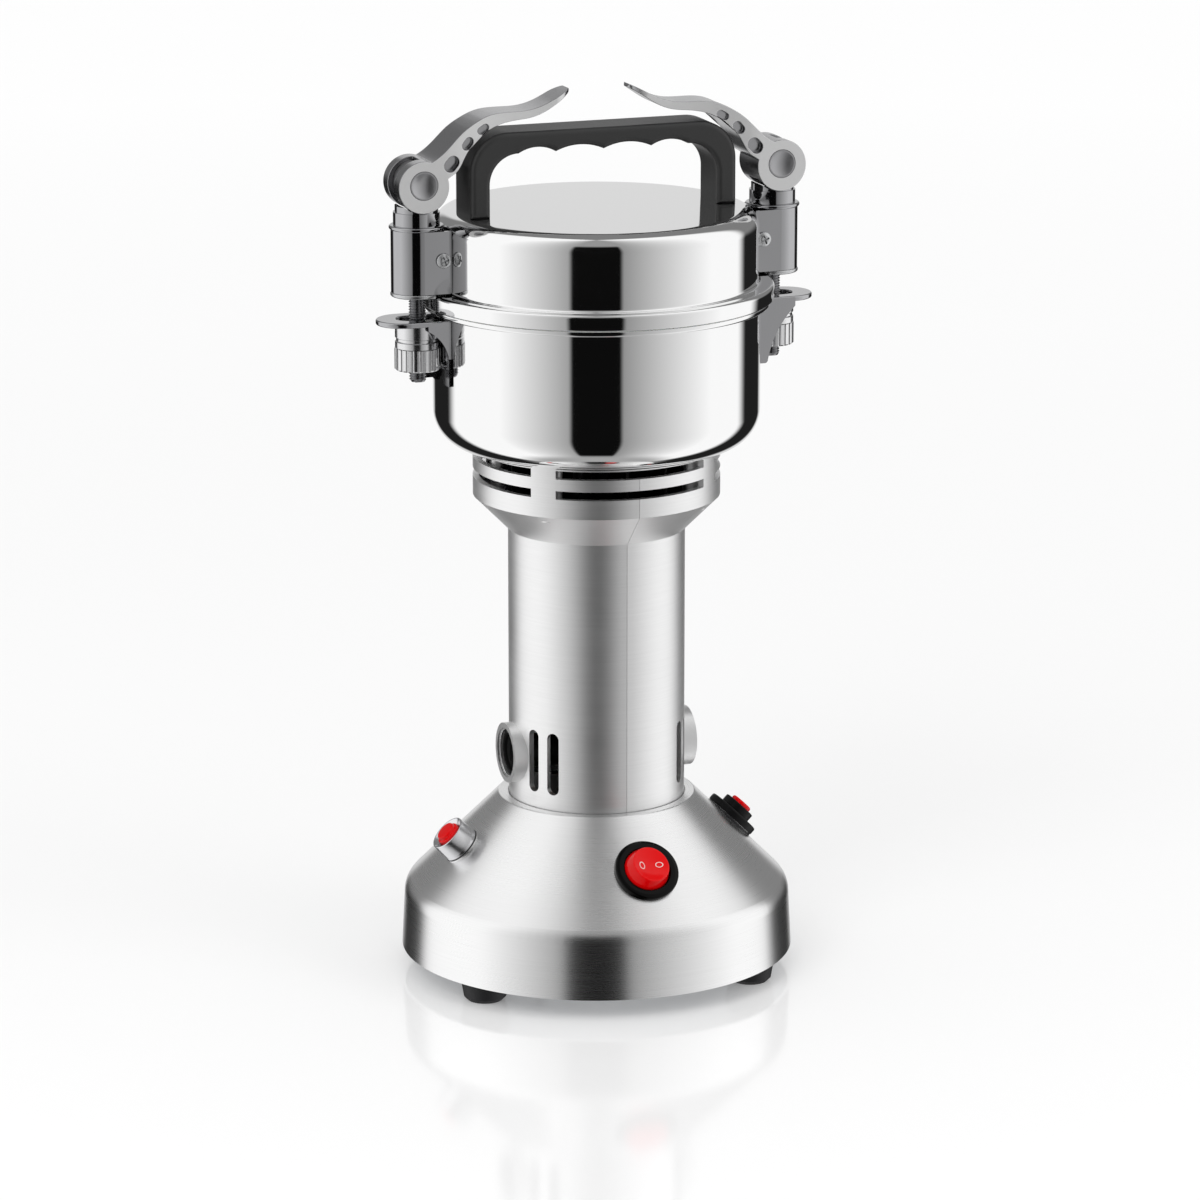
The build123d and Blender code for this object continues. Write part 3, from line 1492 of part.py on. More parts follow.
# Overload protector: block inside the shell, neck through it, ring nut outside, red button.
overload_plane = cone_plane(right)
with BuildPart() as overload_body:
    neck_bore = overload_button_radius + button_gap
    pocket_radius = overload_flange_radius + button_gap
    pocket_top = overload_flange_top + button_gap
    pocket_bottom = overload_flange_top - overload_flange_height - overload_travel - 2 * button_gap
    bar(overload_plane, overload_block_radius, -overload_block_depth, overload_block_top)
    bar(overload_plane, overload_neck_radius, overload_block_top - over_cut, overload_neck_height)
    bar(overload_plane, pocket_radius, pocket_bottom, pocket_top, mode=Mode.SUBTRACT)
    bar(
        overload_plane,
        neck_bore,
        pocket_top - over_cut,
        overload_neck_height + over_cut,
        mode=Mode.SUBTRACT,
    )

with BuildPart() as overload_button:
    flange_low = overload_flange_top - overload_flange_height
    turn(
        overload_plane,
        (0, flange_low),
        (overload_flange_radius, flange_low),
        (overload_flange_radius, overload_flange_top),
        (overload_button_radius, overload_flange_top),
        (overload_button_radius, overload_button_height - round_edge),
        (overload_button_radius - round_edge, overload_button_height),
        (0, overload_button_height),
    )

# Cord gland at the rear, a moulded bush with a tapered nose.
gland_plane = cone_plane(rear)
with BuildPart() as cord_gland:
    gland_flange_top = pad_rise + gland_flange_height
    turn(
        gland_plane,
        (gland_bore, -gland_barrel_depth),
        (gland_barrel_radius, -gland_barrel_depth),
        (gland_barrel_radius, pad_rise),
        (gland_flange_radius, pad_rise),
        (gland_flange_radius, gland_flange_top),
        (gland_root_radius, gland_flange_top),
        (gland_nose_radius, gland_nose_height),
        (gland_bore, gland_nose_height),
    )

# Nuts of the three panel fittings: two inside the shell, the overload protector's outside.
with BuildPart() as panel_nuts:
    nut_low = panel_nut_top - panel_nut_height
    tube(reset_plane, reset_barrel_radius + fit_gap, panel_nut_radius, nut_low, panel_nut_top)
    tube(gland_plane, gland_barrel_radius + fit_gap, panel_nut_radius, nut_low, panel_nut_top)
    overload_nut_top = pad_rise + overload_nut_height
    tube(overload_plane, overload_neck_radius + fit_gap, overload_nut_radius, pad_rise, overload_nut_top)

pieces = {
    "base_shell": base_shell,
    "base_plate": base_plate,
    "base_tabs": base_tabs,
    "feet": feet,
    "foot_screws": foot_screws,
    "pillars": pillars,
    "pillar_screws": pillar_screws,
    "motor_housing_left": motor_housing_left,
    "motor_housing_right": motor_housing_right,
    "stator_core": stator_core,
    "field_coils": field_coils,
    "lower_bearing_bracket": lower_bearing_bracket,
    "upper_bearing_bracket": upper_bearing_bracket,
    "lower_bearing": lower_bearing,
    "upper_bearing": upper_bearing,
    "through_bolts": through_bolts,
    "brush_holders": brush_holders,
    "carbon_brushes": carbon_brushes,
    "brush_springs": brush_springs,
    "brush_caps": brush_caps,
    "motor_shaft": motor_shaft,
    "armature_core": armature_core,
    "armature_windings": armature_windings,
    "commutator": commutator,
    "cooling_fan": cooling_fan,
    "lower_blade": lower_blade,
    "upper_blade": upper_blade,
    "blade_spacer": blade_spacer,
    "blade_nut": blade_nut,
    "bowl": bowl,
    "bowl_screws": bowl_screws,
    "shaft_seal": shaft_seal,
    "bowl_brackets": bowl_brackets,
    "nut_cups": nut_cups,
    "knurled_nut_left": knurled_nut_left,
    "knurled_nut_right": knurled_nut_right,
    "lid_shell": lid_shell,
    "lid_seal": lid_seal,
    "grip": grip,
    "grip_screws": grip_screws,
    "lid_brackets": lid_brackets,
    "guide_blocks": guide_blocks,
    "bracket_screws": bracket_screws,
    "low_washers": low_washers,
    "upper_rings": upper_rings,
    "cam_washers": cam_washers,
    "clamp_rods": clamp_rods,
    "cam_barrels": cam_barrels,
    "lever_left": lever_left,
    "lever_right": lever_right,
    "switch_body": switch_body,
    "rocker": rocker,
    "reset_gasket": reset_gasket,
    "reset_collar": reset_collar,
    "reset_button": reset_button,
    "overload_body": overload_body,
    "overload_button": overload_button,
    "cord_gland": cord_gland,
    "panel_nuts": panel_nuts,
}
for name, piece in pieces.items():
    piece.part.label = name
    export_step(piece.part, f"parts/{name}.step")
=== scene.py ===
"""Electric grain mill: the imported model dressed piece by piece, in the order it is put together.

Outlines are drawn in millimetres, as corners of (radius, height, round), and turned to metres
as each piece is made.
"""

from math import atan2, cos, pi, radians, sin, tan

import bpy
from mathutils import Matrix, Vector


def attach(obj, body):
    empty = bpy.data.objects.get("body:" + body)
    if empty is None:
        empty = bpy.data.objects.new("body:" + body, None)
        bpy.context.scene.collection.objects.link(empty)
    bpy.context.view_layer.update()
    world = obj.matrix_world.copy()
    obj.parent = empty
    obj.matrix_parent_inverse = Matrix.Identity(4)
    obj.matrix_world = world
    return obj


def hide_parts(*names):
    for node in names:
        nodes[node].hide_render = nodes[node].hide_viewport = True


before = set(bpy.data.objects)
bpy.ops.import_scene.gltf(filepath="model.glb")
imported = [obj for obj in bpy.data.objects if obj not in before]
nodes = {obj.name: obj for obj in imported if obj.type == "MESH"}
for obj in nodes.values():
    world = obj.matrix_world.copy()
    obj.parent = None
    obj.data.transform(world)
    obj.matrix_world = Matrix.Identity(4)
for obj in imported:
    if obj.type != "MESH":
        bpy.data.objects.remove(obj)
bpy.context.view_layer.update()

# ======================================================================== base shell
# The base is spun over a former from 1.5 mm stainless sheet and brushed while it still
# turns, so its lines run round it. The motor column stands in the lip at its top.
MM = 0.001


def linear(colour):
    """Linear RGBA of an sRGB hex colour."""
    channels = [int(colour[i : i + 2], 16) / 255 for i in (1, 3, 5)]
    lit = [c / 12.92 if c <= 0.04045 else ((c + 0.055) / 1.055) ** 2.4 for c in channels]
    return (*lit, 1.0)


def add_node(owner, kind, inputs=(), **settings):
    """Add one shader node with its settings; a socket given as a value is linked."""
    made = owner.node_tree.nodes.new(kind)
    for setting, value in settings.items():
        setattr(made, setting, value)
    for socket, value in dict(inputs).items():
        if isinstance(value, bpy.types.NodeSocket):
            owner.node_tree.links.new(value, made.inputs[socket])
        else:
            made.inputs[socket].default_value = value
    return made


def new_finish(name, colour, **constants):
    """Start a material: one Principled shader with its colour and constants on its own sockets."""
    finish = bpy.data.materials.new(name)
    finish.use_nodes = True
    shader = finish.node_tree.nodes["Principled BSDF"]
    shader.inputs["Base Color"].default_value = linear(colour)
    for socket, value in constants.items():
        shader.inputs[socket.replace("_", " ")].default_value = value
    return finish, shader


def wire(finish, source, shader, socket):
    """Run a node's output into one socket of the shader."""
    finish.node_tree.links.new(source, shader.inputs[socket])


def dress(finish, *names):
    """Give carried-over solids their finish."""
    for name in names:
        for held in nodes[name].material_slots:
            held.material = finish


def turned_metal(name, light, dark, lean, spacing, depth, roughness, spread, streaks, **constants):
    """Metal finished on a lathe or spinning head: fine grooves run round the Z axis.

    lean is -1 where the surface narrows upwards and 1 where it widens, so that height and
    radius together always move across the grooves. spacing and depth are in millimetres.
    The grooves break up about ten times round a turn, and soft clouds 45 mm wide, left by
    the hand that held the abrasive, run through their gloss.
    """
    streak_turns = 1.6
    cloud_width = 45.45
    finish, shader = new_finish(name, light, **constants)
    place = add_node(finish, "ShaderNodeTexCoord").outputs["Object"]
    axes = add_node(finish, "ShaderNodeSeparateXYZ", {0: place})
    flat = add_node(
        finish, "ShaderNodeCombineXYZ", {0: axes.outputs[0], 1: axes.outputs[1]}
    ).outputs[0]
    radius = add_node(finish, "ShaderNodeVectorMath", {0: flat}, operation="LENGTH")
    around = add_node(finish, "ShaderNodeVectorMath", {0: flat}, operation="NORMALIZE")
    leaned = add_node(
        finish, "ShaderNodeMath",
        {0: radius.outputs["Value"], 1: lean, 2: axes.outputs[2]},
        operation="MULTIPLY_ADD",
    )
    across = add_node(
        finish, "ShaderNodeMath", {0: leaned.outputs[0], 1: 1 / (spacing * MM)}, operation="MULTIPLY"
    )
    turns = add_node(
        finish, "ShaderNodeVectorMath",
        {0: around.outputs[0], 1: (streak_turns, streak_turns, 0)},
        operation="MULTIPLY",
    )
    lift = add_node(finish, "ShaderNodeCombineXYZ", {2: across.outputs[0]})
    groove_place = add_node(
        finish, "ShaderNodeVectorMath", {0: turns.outputs[0], 1: lift.outputs[0]}, operation="ADD"
    )
    grooves = add_node(
        finish, "ShaderNodeTexNoise",
        {"Vector": groove_place.outputs[0], "Scale": 1.0, "Detail": 3.0, "Roughness": 0.6},
    ).outputs["Fac"]
    cloud = add_node(
        finish, "ShaderNodeTexNoise", {"Vector": place, "Scale": 1 / (cloud_width * MM), "Detail": 2.0}
    )
    tone = add_node(
        finish, "ShaderNodeMix", {0: grooves, 6: linear(dark), 7: linear(light)}, data_type="RGBA"
    )
    wire(finish, tone.outputs[2], shader, "Base Color")
    worn = add_node(
        finish, "ShaderNodeMath",
        {0: grooves, 1: streaks, 2: cloud.outputs["Fac"]},
        operation="MULTIPLY_ADD",
    )
    gloss = add_node(
        finish, "ShaderNodeMapRange",
        {
            "Value": worn.outputs[0], "From Min": 0.5, "From Max": 0.5 + streaks,
            "To Min": roughness - spread, "To Max": roughness + spread,
        },
    )
    wire(finish, gloss.outputs[0], shader, "Roughness")
    bump = add_node(finish, "ShaderNodeBump", {"Height": grooves, "Distance": depth * MM, "Strength": 1.0})
    wire(finish, bump.outputs[0], shader, "Normal")
    tangent = add_node(finish, "ShaderNodeTangent", direction_type="RADIAL", axis="Z")
    wire(finish, tangent.outputs[0], shader, "Tangent")
    return finish


# Spun 304 stainless, brushed with a fine abrasive: soft streaked reflections that stretch
# across the lines, no colour of its own. Real lines are 0.1 mm apart, drawn at 0.4 mm.
spun_stainless = turned_metal(
    "spun_brushed_stainless", light="#fbfbfb", dark="#ededed", lean=-1, spacing=0.4, depth=0.0013,
    roughness=0.28, spread=0.03, streaks=1.0,
    Metallic=1.0, Anisotropic=0.75, Anisotropic_Rotation=0.25,
)
dress(spun_stainless, "base_shell")

# ======================================================================== base plate and feet
# A zinc-plated steel disc closes the base; three moulded rubber feet are screwed through it
# into angle tabs, and three turned pillars carry the column's flange.

# Zinc-plated sheet: dull grey with the crystals of its coating, which are about 6 mm wide.
galvanised, shader = new_finish("zinc_plated_sheet", "#a9acaf", Metallic=0.9, Roughness=0.42)
place = add_node(galvanised, "ShaderNodeTexCoord").outputs["Object"]
spangle = add_node(galvanised, "ShaderNodeTexVoronoi", {"Vector": place, "Scale": 1 / (6.25 * MM)})
tone = add_node(
    galvanised, "ShaderNodeMix",
    {0: spangle.outputs["Distance"], 6: linear("#b4b7ba"), 7: linear("#979a9e")},
    data_type="RGBA",
)
wire(galvanised, tone.outputs[2], shader, "Base Color")
dress(galvanised, "base_plate", "base_tabs")

# Rubber pressed in a blasted mould: near black and matt, with a fine bite to its skin. The
# real grain is 0.2 mm wide, drawn at 1.1 mm.
rubber, shader = new_finish("moulded_black_rubber", "#17171a", Roughness=0.62)
place = add_node(rubber, "ShaderNodeTexCoord").outputs["Object"]
grain = add_node(
    rubber, "ShaderNodeTexNoise", {"Vector": place, "Scale": 1 / (1.111 * MM), "Detail": 4.0}
).outputs["Fac"]
bump = add_node(rubber, "ShaderNodeBump", {"Height": grain, "Distance": 0.06 * MM, "Strength": 0.6})
wire(rubber, bump.outputs[0], shader, "Normal")
gloss = add_node(rubber, "ShaderNodeMapRange", {"Value": grain, "To Min": 0.5, "To Max": 0.72})
wire(rubber, gloss.outputs[0], shader, "Roughness")
dress(rubber, "feet")

# Steel turned or headed and zinc plated in a barrel: bright, a little cloudy where pieces
# have rubbed together, in patches of about 1.4 mm.
bright_steel, shader = new_finish("zinc_plated_steel", "#c9cacb", Metallic=1.0, Roughness=0.28)
place = add_node(bright_steel, "ShaderNodeTexCoord").outputs["Object"]
rubbed = add_node(
    bright_steel, "ShaderNodeTexNoise", {"Vector": place, "Scale": 1 / (1.429 * MM), "Detail": 3.0}
)
gloss = add_node(
    bright_steel, "ShaderNodeMapRange", {"Value": rubbed.outputs["Fac"], "To Min": 0.2, "To Max": 0.38}
)
wire(bright_steel, gloss.outputs[0], shader, "Roughness")
dress(
    bright_steel, "foot_screws", "pillars", "pillar_screws", "through_bolts", "bowl_screws",
    "grip_screws", "blade_nut", "brush_springs", "low_washers",
)

# ======================================================================== motor housing
# Column and slotted collar, pressure-cast in aluminium in two halves that meet at the front
# and rear, then turned and blasted, and screwed down to the base over the pillars.

# Turned and blasted aluminium: satin grey, its broad soft highlight hardly stretched, with
# faint lathe lines. The real feed is 0.2 mm, drawn at 0.55 mm.
cast_aluminium = turned_metal(
    "satin_turned_aluminium", light="#fafafa", dark="#eeeeee", lean=1, spacing=0.55, depth=0.003,
    roughness=0.42, spread=0.04, streaks=0.8,
    Metallic=1.0, Anisotropic=0.1, Anisotropic_Rotation=0.25,
)
dress(cast_aluminium, "motor_housing_left", "motor_housing_right")

# ======================================================================== motor
# A series motor stands in the column: a stacked field core with its coils, bolted between
# two bearing brackets, and an armature with fan and commutator on a ground shaft, which
# carries the blades at its top. Carbon brushes press on the commutator from both sides.

# Punched core steel, stacked and varnished: dull dark grey, ribbed by the edges of its
# sheets. They are 0.5 mm thick, drawn at 1 mm; a wave's bands lie pi / 10 of a unit apart.
laminated, shader = new_finish("laminated_core_steel", "#7c7e80", Metallic=0.9, Roughness=0.45)
place = add_node(laminated, "ShaderNodeTexCoord").outputs["Object"]
sheets = add_node(
    laminated, "ShaderNodeTexWave", {"Vector": place, "Scale": pi / 10 / (0.9817 * MM)}, bands_direction="Z"
).outputs["Fac"]
bump = add_node(laminated, "ShaderNodeBump", {"Height": sheets, "Distance": 0.1 * MM, "Strength": 0.7})
wire(laminated, bump.outputs[0], shader, "Normal")
tone = add_node(
    laminated, "ShaderNodeMix", {0: sheets, 6: linear("#5f6163"), 7: linear("#8a8c8e")}, data_type="RGBA"
)
wire(laminated, tone.outputs[2], shader, "Base Color")
dress(laminated, "stator_core", "armature_core", "lower_bearing_bracket", "upper_bearing_bracket")

# Enamelled copper wire, wound and dipped: warm brown metal under a clear coat, its strands
# 0.8 mm apart as wound.
copper, shader = new_finish(
    "enamelled_copper_wire", "#b06a3a", Metallic=0.85, Roughness=0.3, Coat_Weight=0.6
)
place = add_node(copper, "ShaderNodeTexCoord").outputs["Object"]
strands = add_node(
    copper, "ShaderNodeTexWave",
    {"Vector": place, "Scale": pi / 10 / (0.8267 * MM), "Distortion": 1.5},
    bands_direction="Z",
)
bump = add_node(
    copper, "ShaderNodeBump", {"Height": strands.outputs["Fac"], "Distance": 0.3 * MM, "Strength": 0.8}
)
wire(copper, bump.outputs[0], shader, "Normal")
dress(copper, "field_coils", "armature_windings", "commutator")

# Ground steel: cold, clean and bright, with a gloss that wanders a little from pass to pass
# of the wheel, about 1.1 mm wide.
ground_steel, shader = new_finish("ground_bearing_steel", "#c3c4c6", Metallic=1.0, Roughness=0.2)
place = add_node(ground_steel, "ShaderNodeTexCoord").outputs["Object"]
passes = add_node(
    ground_steel, "ShaderNodeTexNoise", {"Vector": place, "Scale": 1 / (1.111 * MM), "Detail": 3.0}
)
gloss = add_node(
    ground_steel, "ShaderNodeMapRange", {"Value": passes.outputs["Fac"], "To Min": 0.14, "To Max": 0.3}
)
wire(ground_steel, gloss.outputs[0], shader, "Roughness")
dress(
    ground_steel, "lower_bearing", "upper_bearing", "motor_shaft", "lower_blade", "upper_blade",
    "blade_spacer",
)

# Nylon moulded in a lightly eroded tool: black and half matt. The real grain is 0.2 mm wide,
# drawn at 0.9 mm.
black_plastic, shader = new_finish(
    "moulded_black_nylon", "#0e0e0f", Roughness=0.42, Specular_IOR_Level=0.2
)
place = add_node(black_plastic, "ShaderNodeTexCoord").outputs["Object"]
grain = add_node(
    black_plastic, "ShaderNodeTexNoise", {"Vector": place, "Scale": 1 / (0.9091 * MM), "Detail": 3.0}
).outputs["Fac"]
bump = add_node(black_plastic, "ShaderNodeBump", {"Height": grain, "Distance": 0.04 * MM, "Strength": 0.5})
wire(black_plastic, bump.outputs[0], shader, "Normal")
gloss = add_node(black_plastic, "ShaderNodeMapRange", {"Value": grain, "To Min": 0.34, "To Max": 0.5})
wire(black_plastic, gloss.outputs[0], shader, "Roughness")
dress(
    black_plastic, "brush_holders", "carbon_brushes", "cooling_fan", "cord_gland", "guide_blocks",
    "shaft_seal",
)

# ======================================================================== bowl
# Grinding bowl, spun and deep-drawn from 1.2 mm stainless, its rim turned out to a flat lip,
# then buffed to a mirror. It is screwed down on the collar round the shaft seal.
wall = 1.2
bowl_radius = 76.3
bowl_floor = 254
lip_radius = 81
lip_top = 323
lip_foot = 320
bowl_bend = 17
seal_bore = 9.05
weld = 0.002 * MM


def rounded(*corners):
    """Points of a closed outline: each corner is (radius, height, round), with 0 where it is sharp."""
    points = []
    for index, (radius, height, bend) in enumerate(corners):
        corner = Vector((radius, height))
        if not bend:
            points.append(corner)
            continue
        back = (Vector(corners[index - 1][:2]) - corner).normalized()
        ahead = (Vector(corners[(index + 1) % len(corners)][:2]) - corner).normalized()
        half = back.angle(ahead) / 2
        centre = corner + (back + ahead).normalized() * bend / sin(half)
        start = corner + back * bend / tan(half) - centre
        end = corner + ahead * bend / tan(half) - centre
        first = atan2(start.y, start.x)
        sweep = (atan2(end.y, end.x) - first + pi) % (2 * pi) - pi
        steps = max(4, round(abs(sweep) * 10))
        for step in range(steps + 1):
            angle = first + sweep * step / steps
            points.append(centre + Vector((cos(angle), sin(angle))) * bend)
    return points


def spun(name, outline, seat=(0, 0, 0), axis=(0, 0, 1), side=(1, 0, 0), steps=192):
    """Draw an outline point by point beside an axis and spin it into a closed piece."""
    bpy.ops.object.select_all(action="DESELECT")
    bpy.ops.mesh.primitive_plane_add(size=MM, location=(0, 0, 0))
    piece = bpy.context.object
    piece.name = name
    path = [Vector(seat) * MM + (Vector(side) * p.x + Vector(axis) * p.y) * MM for p in outline]
    bpy.ops.object.mode_set(mode="EDIT")
    bpy.ops.mesh.merge(type="CENTER")
    bpy.ops.transform.translate(value=path[0])
    for start, end in zip(path, path[1:] + path[:1]):
        bpy.ops.mesh.extrude_region_move(TRANSFORM_OT_translate={"value": end - start})
    bpy.ops.mesh.select_all(action="SELECT")
    bpy.ops.mesh.spin(steps=steps, angle=2 * pi, center=Vector(seat) * MM, axis=axis)
    bpy.ops.mesh.select_all(action="SELECT")
    bpy.ops.mesh.remove_doubles(threshold=weld)
    bpy.ops.mesh.normals_make_consistent(inside=False)
    bpy.ops.object.mode_set(mode="OBJECT")
    bpy.ops.object.shade_smooth_by_angle(angle=radians(35))
    return piece


def fit(piece, finish, body, slot, *stood_for):
    """Finish a new piece, hang it on its body and let it stand for its solids."""
    piece.data.materials.clear()
    piece.data.materials.append(finish)
    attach(piece, body)
    if stood_for:
        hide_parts(*stood_for)


def polished_metal(name, colour, roughness, swirl):
    """Buffed metal: near-mirror, with the faint haze and swirls that a buffing wheel leaves.

    The haze lies in patches of about 70 mm, and the surface swells by swirl millimetres over
    about 33 mm, as thin polished metal does.
    """
    haze_width, swell_width = 71.43, 33.33
    finish, shader = new_finish(name, colour, Metallic=1.0, Roughness=roughness)
    place = add_node(finish, "ShaderNodeTexCoord").outputs["Object"]
    haze = add_node(
        finish, "ShaderNodeTexNoise",
        {"Vector": place, "Scale": 1 / (haze_width * MM), "Detail": 4.0, "Distortion": 0.6},
    )
    gloss = add_node(
        finish, "ShaderNodeMapRange",
        {
            "Value": haze.outputs["Fac"], "From Min": 0.3, "From Max": 0.7,
            "To Min": roughness * 0.7, "To Max": roughness * 1.5,
        },
    )
    wire(finish, gloss.outputs[0], shader, "Roughness")
    swell = add_node(
        finish, "ShaderNodeTexNoise", {"Vector": place, "Scale": 1 / (swell_width * MM), "Detail": 1.0}
    )
    bump = add_node(
        finish, "ShaderNodeBump", {"Height": swell.outputs["Fac"], "Distance": swirl * MM, "Strength": 1.0}
    )
    wire(finish, bump.outputs[0], shader, "Normal")
    return finish


# Stainless buffed to a mirror: hard-edged black and white reflections with hardly a haze.
mirror_stainless = polished_metal("mirror_buffed_stainless", "#f2f2f2", roughness=0.045, swirl=0.012)
bowl = spun(
    "spun_bowl",
    rounded(
        (seal_bore, bowl_floor, 0), (bowl_radius, bowl_floor, bowl_bend), (bowl_radius, lip_foot, 0.6),
        (lip_radius, lip_foot, 1.2), (lip_radius, lip_top, 1.2), (bowl_radius - wall, lip_top, 0.5),
        (bowl_radius - wall, bowl_floor + wall, bowl_bend - wall), (seal_bore, bowl_floor + wall, 0),
    ),
    steps=256,
)
fit(bowl, mirror_stainless, "stand", "polished_steel", "bowl")

# ======================================================================== lower clamp pieces
# A folded and gusseted sheet bracket is spot-welded to each side of the bowl. Its ledge holds
# a turned cup and, below it, the knurled nut that the clamp's rod is screwed into.

# Polished sheet steel: a softer mirror than the bowl's, and the sheet is never quite flat.
bright_bracket = polished_metal("polished_sheet_steel", "#b2b2b4", roughness=0.1, swirl=0.5)
dress(bright_bracket, "bowl_brackets")

# Bright nickel over turned brass: pale, warm-white metal with slightly blurred reflections.
nickel = polished_metal("bright_nickel_plate", "#e4e4e5", roughness=0.15, swirl=0.01)
dress(nickel, "nut_cups", "knurled_nut_left", "knurled_nut_right")

# ======================================================================== lid
# Lid, spun from 1.2 mm stainless with a rim band that caps the bowl's lip. A silicone ring
# seals it, and a folded bracket at each side holds the ring and washer that the cam presses on.
lid_top = 365
lid_radius = 75.5
lid_bend = 8.5
band_radius = 82.6
band_top = 330.5
band_foot = 323.3
lid = spun(
    "spun_lid",
    rounded(
        (0, lid_top, 0), (lid_radius, lid_top, lid_bend), (lid_radius, band_top, 1.5),
        (band_radius, band_top, 2), (band_radius, band_foot, 0.3),
        (band_radius - wall, band_foot, 0.3), (band_radius - wall, band_top - wall, 0.8),
        (lid_radius - wall, band_top - wall, 1.0),
        (lid_radius - wall, lid_top - wall, lid_bend - wall), (0, lid_top - wall, 0),
    ),
    steps=256,
)
fit(lid, mirror_stainless, "lid", "polished_steel", "lid_shell")

# Chromed sheet steel: a colder mirror, wavy where the sheet was folded; its darker colour is painted shade
# for the dark things its flat plates reflect.
chrome_painted_dark = polished_metal("chromed_sheet_steel", "#aeaeb0", roughness=0.06, swirl=0.6)
dress(chrome_painted_dark, "lid_brackets", "upper_rings", "cam_washers")

# Cast silicone: soft warm white that lets a little light in, its skin matt in patches of 2 mm.
silicone, shader = new_finish("cast_white_silicone", "#e6e5e0", Roughness=0.45, Subsurface_Weight=0.15)
place = add_node(silicone, "ShaderNodeTexCoord").outputs["Object"]
skin = add_node(
    silicone, "ShaderNodeTexNoise", {"Vector": place, "Scale": 1 / (2 * MM), "Detail": 2.0}
).outputs["Fac"]
gloss = add_node(silicone, "ShaderNodeMapRange", {"Value": skin, "To Min": 0.4, "To Max": 0.55})
wire(silicone, gloss.outputs[0], shader, "Roughness")
dress(silicone, "lid_seal")

# ======================================================================== grip
# The bail-shaped grip is moulded in one piece in filled nylon, with finger scallops under its
# bar, and screwed to the lid from inside through its two feet.

# Filled nylon from an eroded mould: charcoal with a broad grey sheen. The real grain is
# 0.3 mm wide, drawn at 0.8 mm.
grip_plastic, shader = new_finish("moulded_grip_nylon", "#2b2b2b", Roughness=0.42)
place = add_node(grip_plastic, "ShaderNodeTexCoord").outputs["Object"]
grain = add_node(
    grip_plastic, "ShaderNodeTexNoise", {"Vector": place, "Scale": 1 / (0.8333 * MM), "Detail": 3.0}
).outputs["Fac"]
bump = add_node(grip_plastic, "ShaderNodeBump", {"Height": grain, "Distance": 0.05 * MM, "Strength": 0.6})
wire(grip_plastic, bump.outputs[0], shader, "Normal")
gloss = add_node(grip_plastic, "ShaderNodeMapRange", {"Value": grain, "To Min": 0.34, "To Max": 0.5})
wire(grip_plastic, gloss.outputs[0], shader, "Roughness")
dress(grip_plastic, "grip")

# ======================================================================== bracket screws
# Pan-head screws, 3.6 mm thick under a 7 mm head, hold each lid bracket to the lid; a cross
# recess is struck into the domed head, and its floor keeps the shadow.
screw_place = Vector((-78.6, -12, 347))
shank_radius, shank_length = 1.8, 7
head_radius, head_height = 3.5, 2.2
recess_length, recess_width, recess_floor, cut_depth = 4.3, 0.85, 0.8, 3.0


def cut_slot(piece, size, centre, turned=0):
    """Cut a straight slot: a box of this size, turned about Y, is taken out of the piece."""
    bpy.ops.object.select_all(action="DESELECT")
    bpy.ops.mesh.primitive_cube_add(size=1)
    cutter = bpy.context.object
    bpy.ops.object.mode_set(mode="EDIT")
    bpy.ops.transform.resize(value=Vector(size) * MM)
    if turned:
        bpy.ops.transform.rotate(value=radians(turned), orient_axis="Y", center_override=(0, 0, 0))
    bpy.ops.transform.translate(value=Vector(centre) * MM)
    bpy.ops.object.mode_set(mode="OBJECT")
    bpy.context.view_layer.objects.active = piece
    slot = piece.modifiers.new("slot", "BOOLEAN")
    slot.operation = "DIFFERENCE"
    slot.solver = "EXACT"
    slot.object = cutter
    bpy.ops.object.modifier_apply(modifier=slot.name)
    bpy.data.objects.remove(cutter)
    piece.select_set(True)
    bpy.ops.object.shade_smooth_by_angle(angle=radians(35))


def copied(piece, name, move=(0, 0, 0), flip=(1, 1, 1)):
    """Copy a piece, with a mesh of its own, mirrored about the middle or moved in millimetres."""
    bpy.ops.object.select_all(action="DESELECT")
    piece.select_set(True)
    bpy.context.view_layer.objects.active = piece
    bpy.ops.object.duplicate()
    copy = bpy.context.object
    copy.name = name
    bpy.ops.object.mode_set(mode="EDIT")
    bpy.ops.mesh.select_all(action="SELECT")
    if flip != (1, 1, 1):
        bpy.ops.transform.resize(value=flip, center_override=(0, 0, 0))
        bpy.ops.mesh.normals_make_consistent(inside=False)
    bpy.ops.transform.translate(value=Vector(move) * MM)
    bpy.ops.object.mode_set(mode="OBJECT")
    return copy


front_screw = spun(
    "bracket_screw_left_front",
    rounded(
        (0, -shank_length, 0), (shank_radius, -shank_length, 0.3), (shank_radius, 0, 0),
        (head_radius, 0, 0.25), (head_radius, 1.0, 0.9), (1.9, head_height - 0.05, 1.2),
        (0, head_height, 0),
    ),
    screw_place, (0, -1, 0), steps=40,
)
struck = screw_place - Vector((0, recess_floor + cut_depth / 2, 0))
for turned in (20, 110):
    cut_slot(front_screw, (recess_length, cut_depth, recess_width), struck, turned)
rear_screw = copied(front_screw, "bracket_screw_left_rear", flip=(1, -1, 1))
across_lid = (-2 * screw_place.x, 0, 0)
for screw in (
    front_screw, rear_screw,
    copied(front_screw, "bracket_screw_right_front", move=across_lid),
    copied(rear_screw, "bracket_screw_right_rear", move=across_lid),
):
    fit(screw, bright_steel, "lid", "fastener_steel", "bracket_screws")

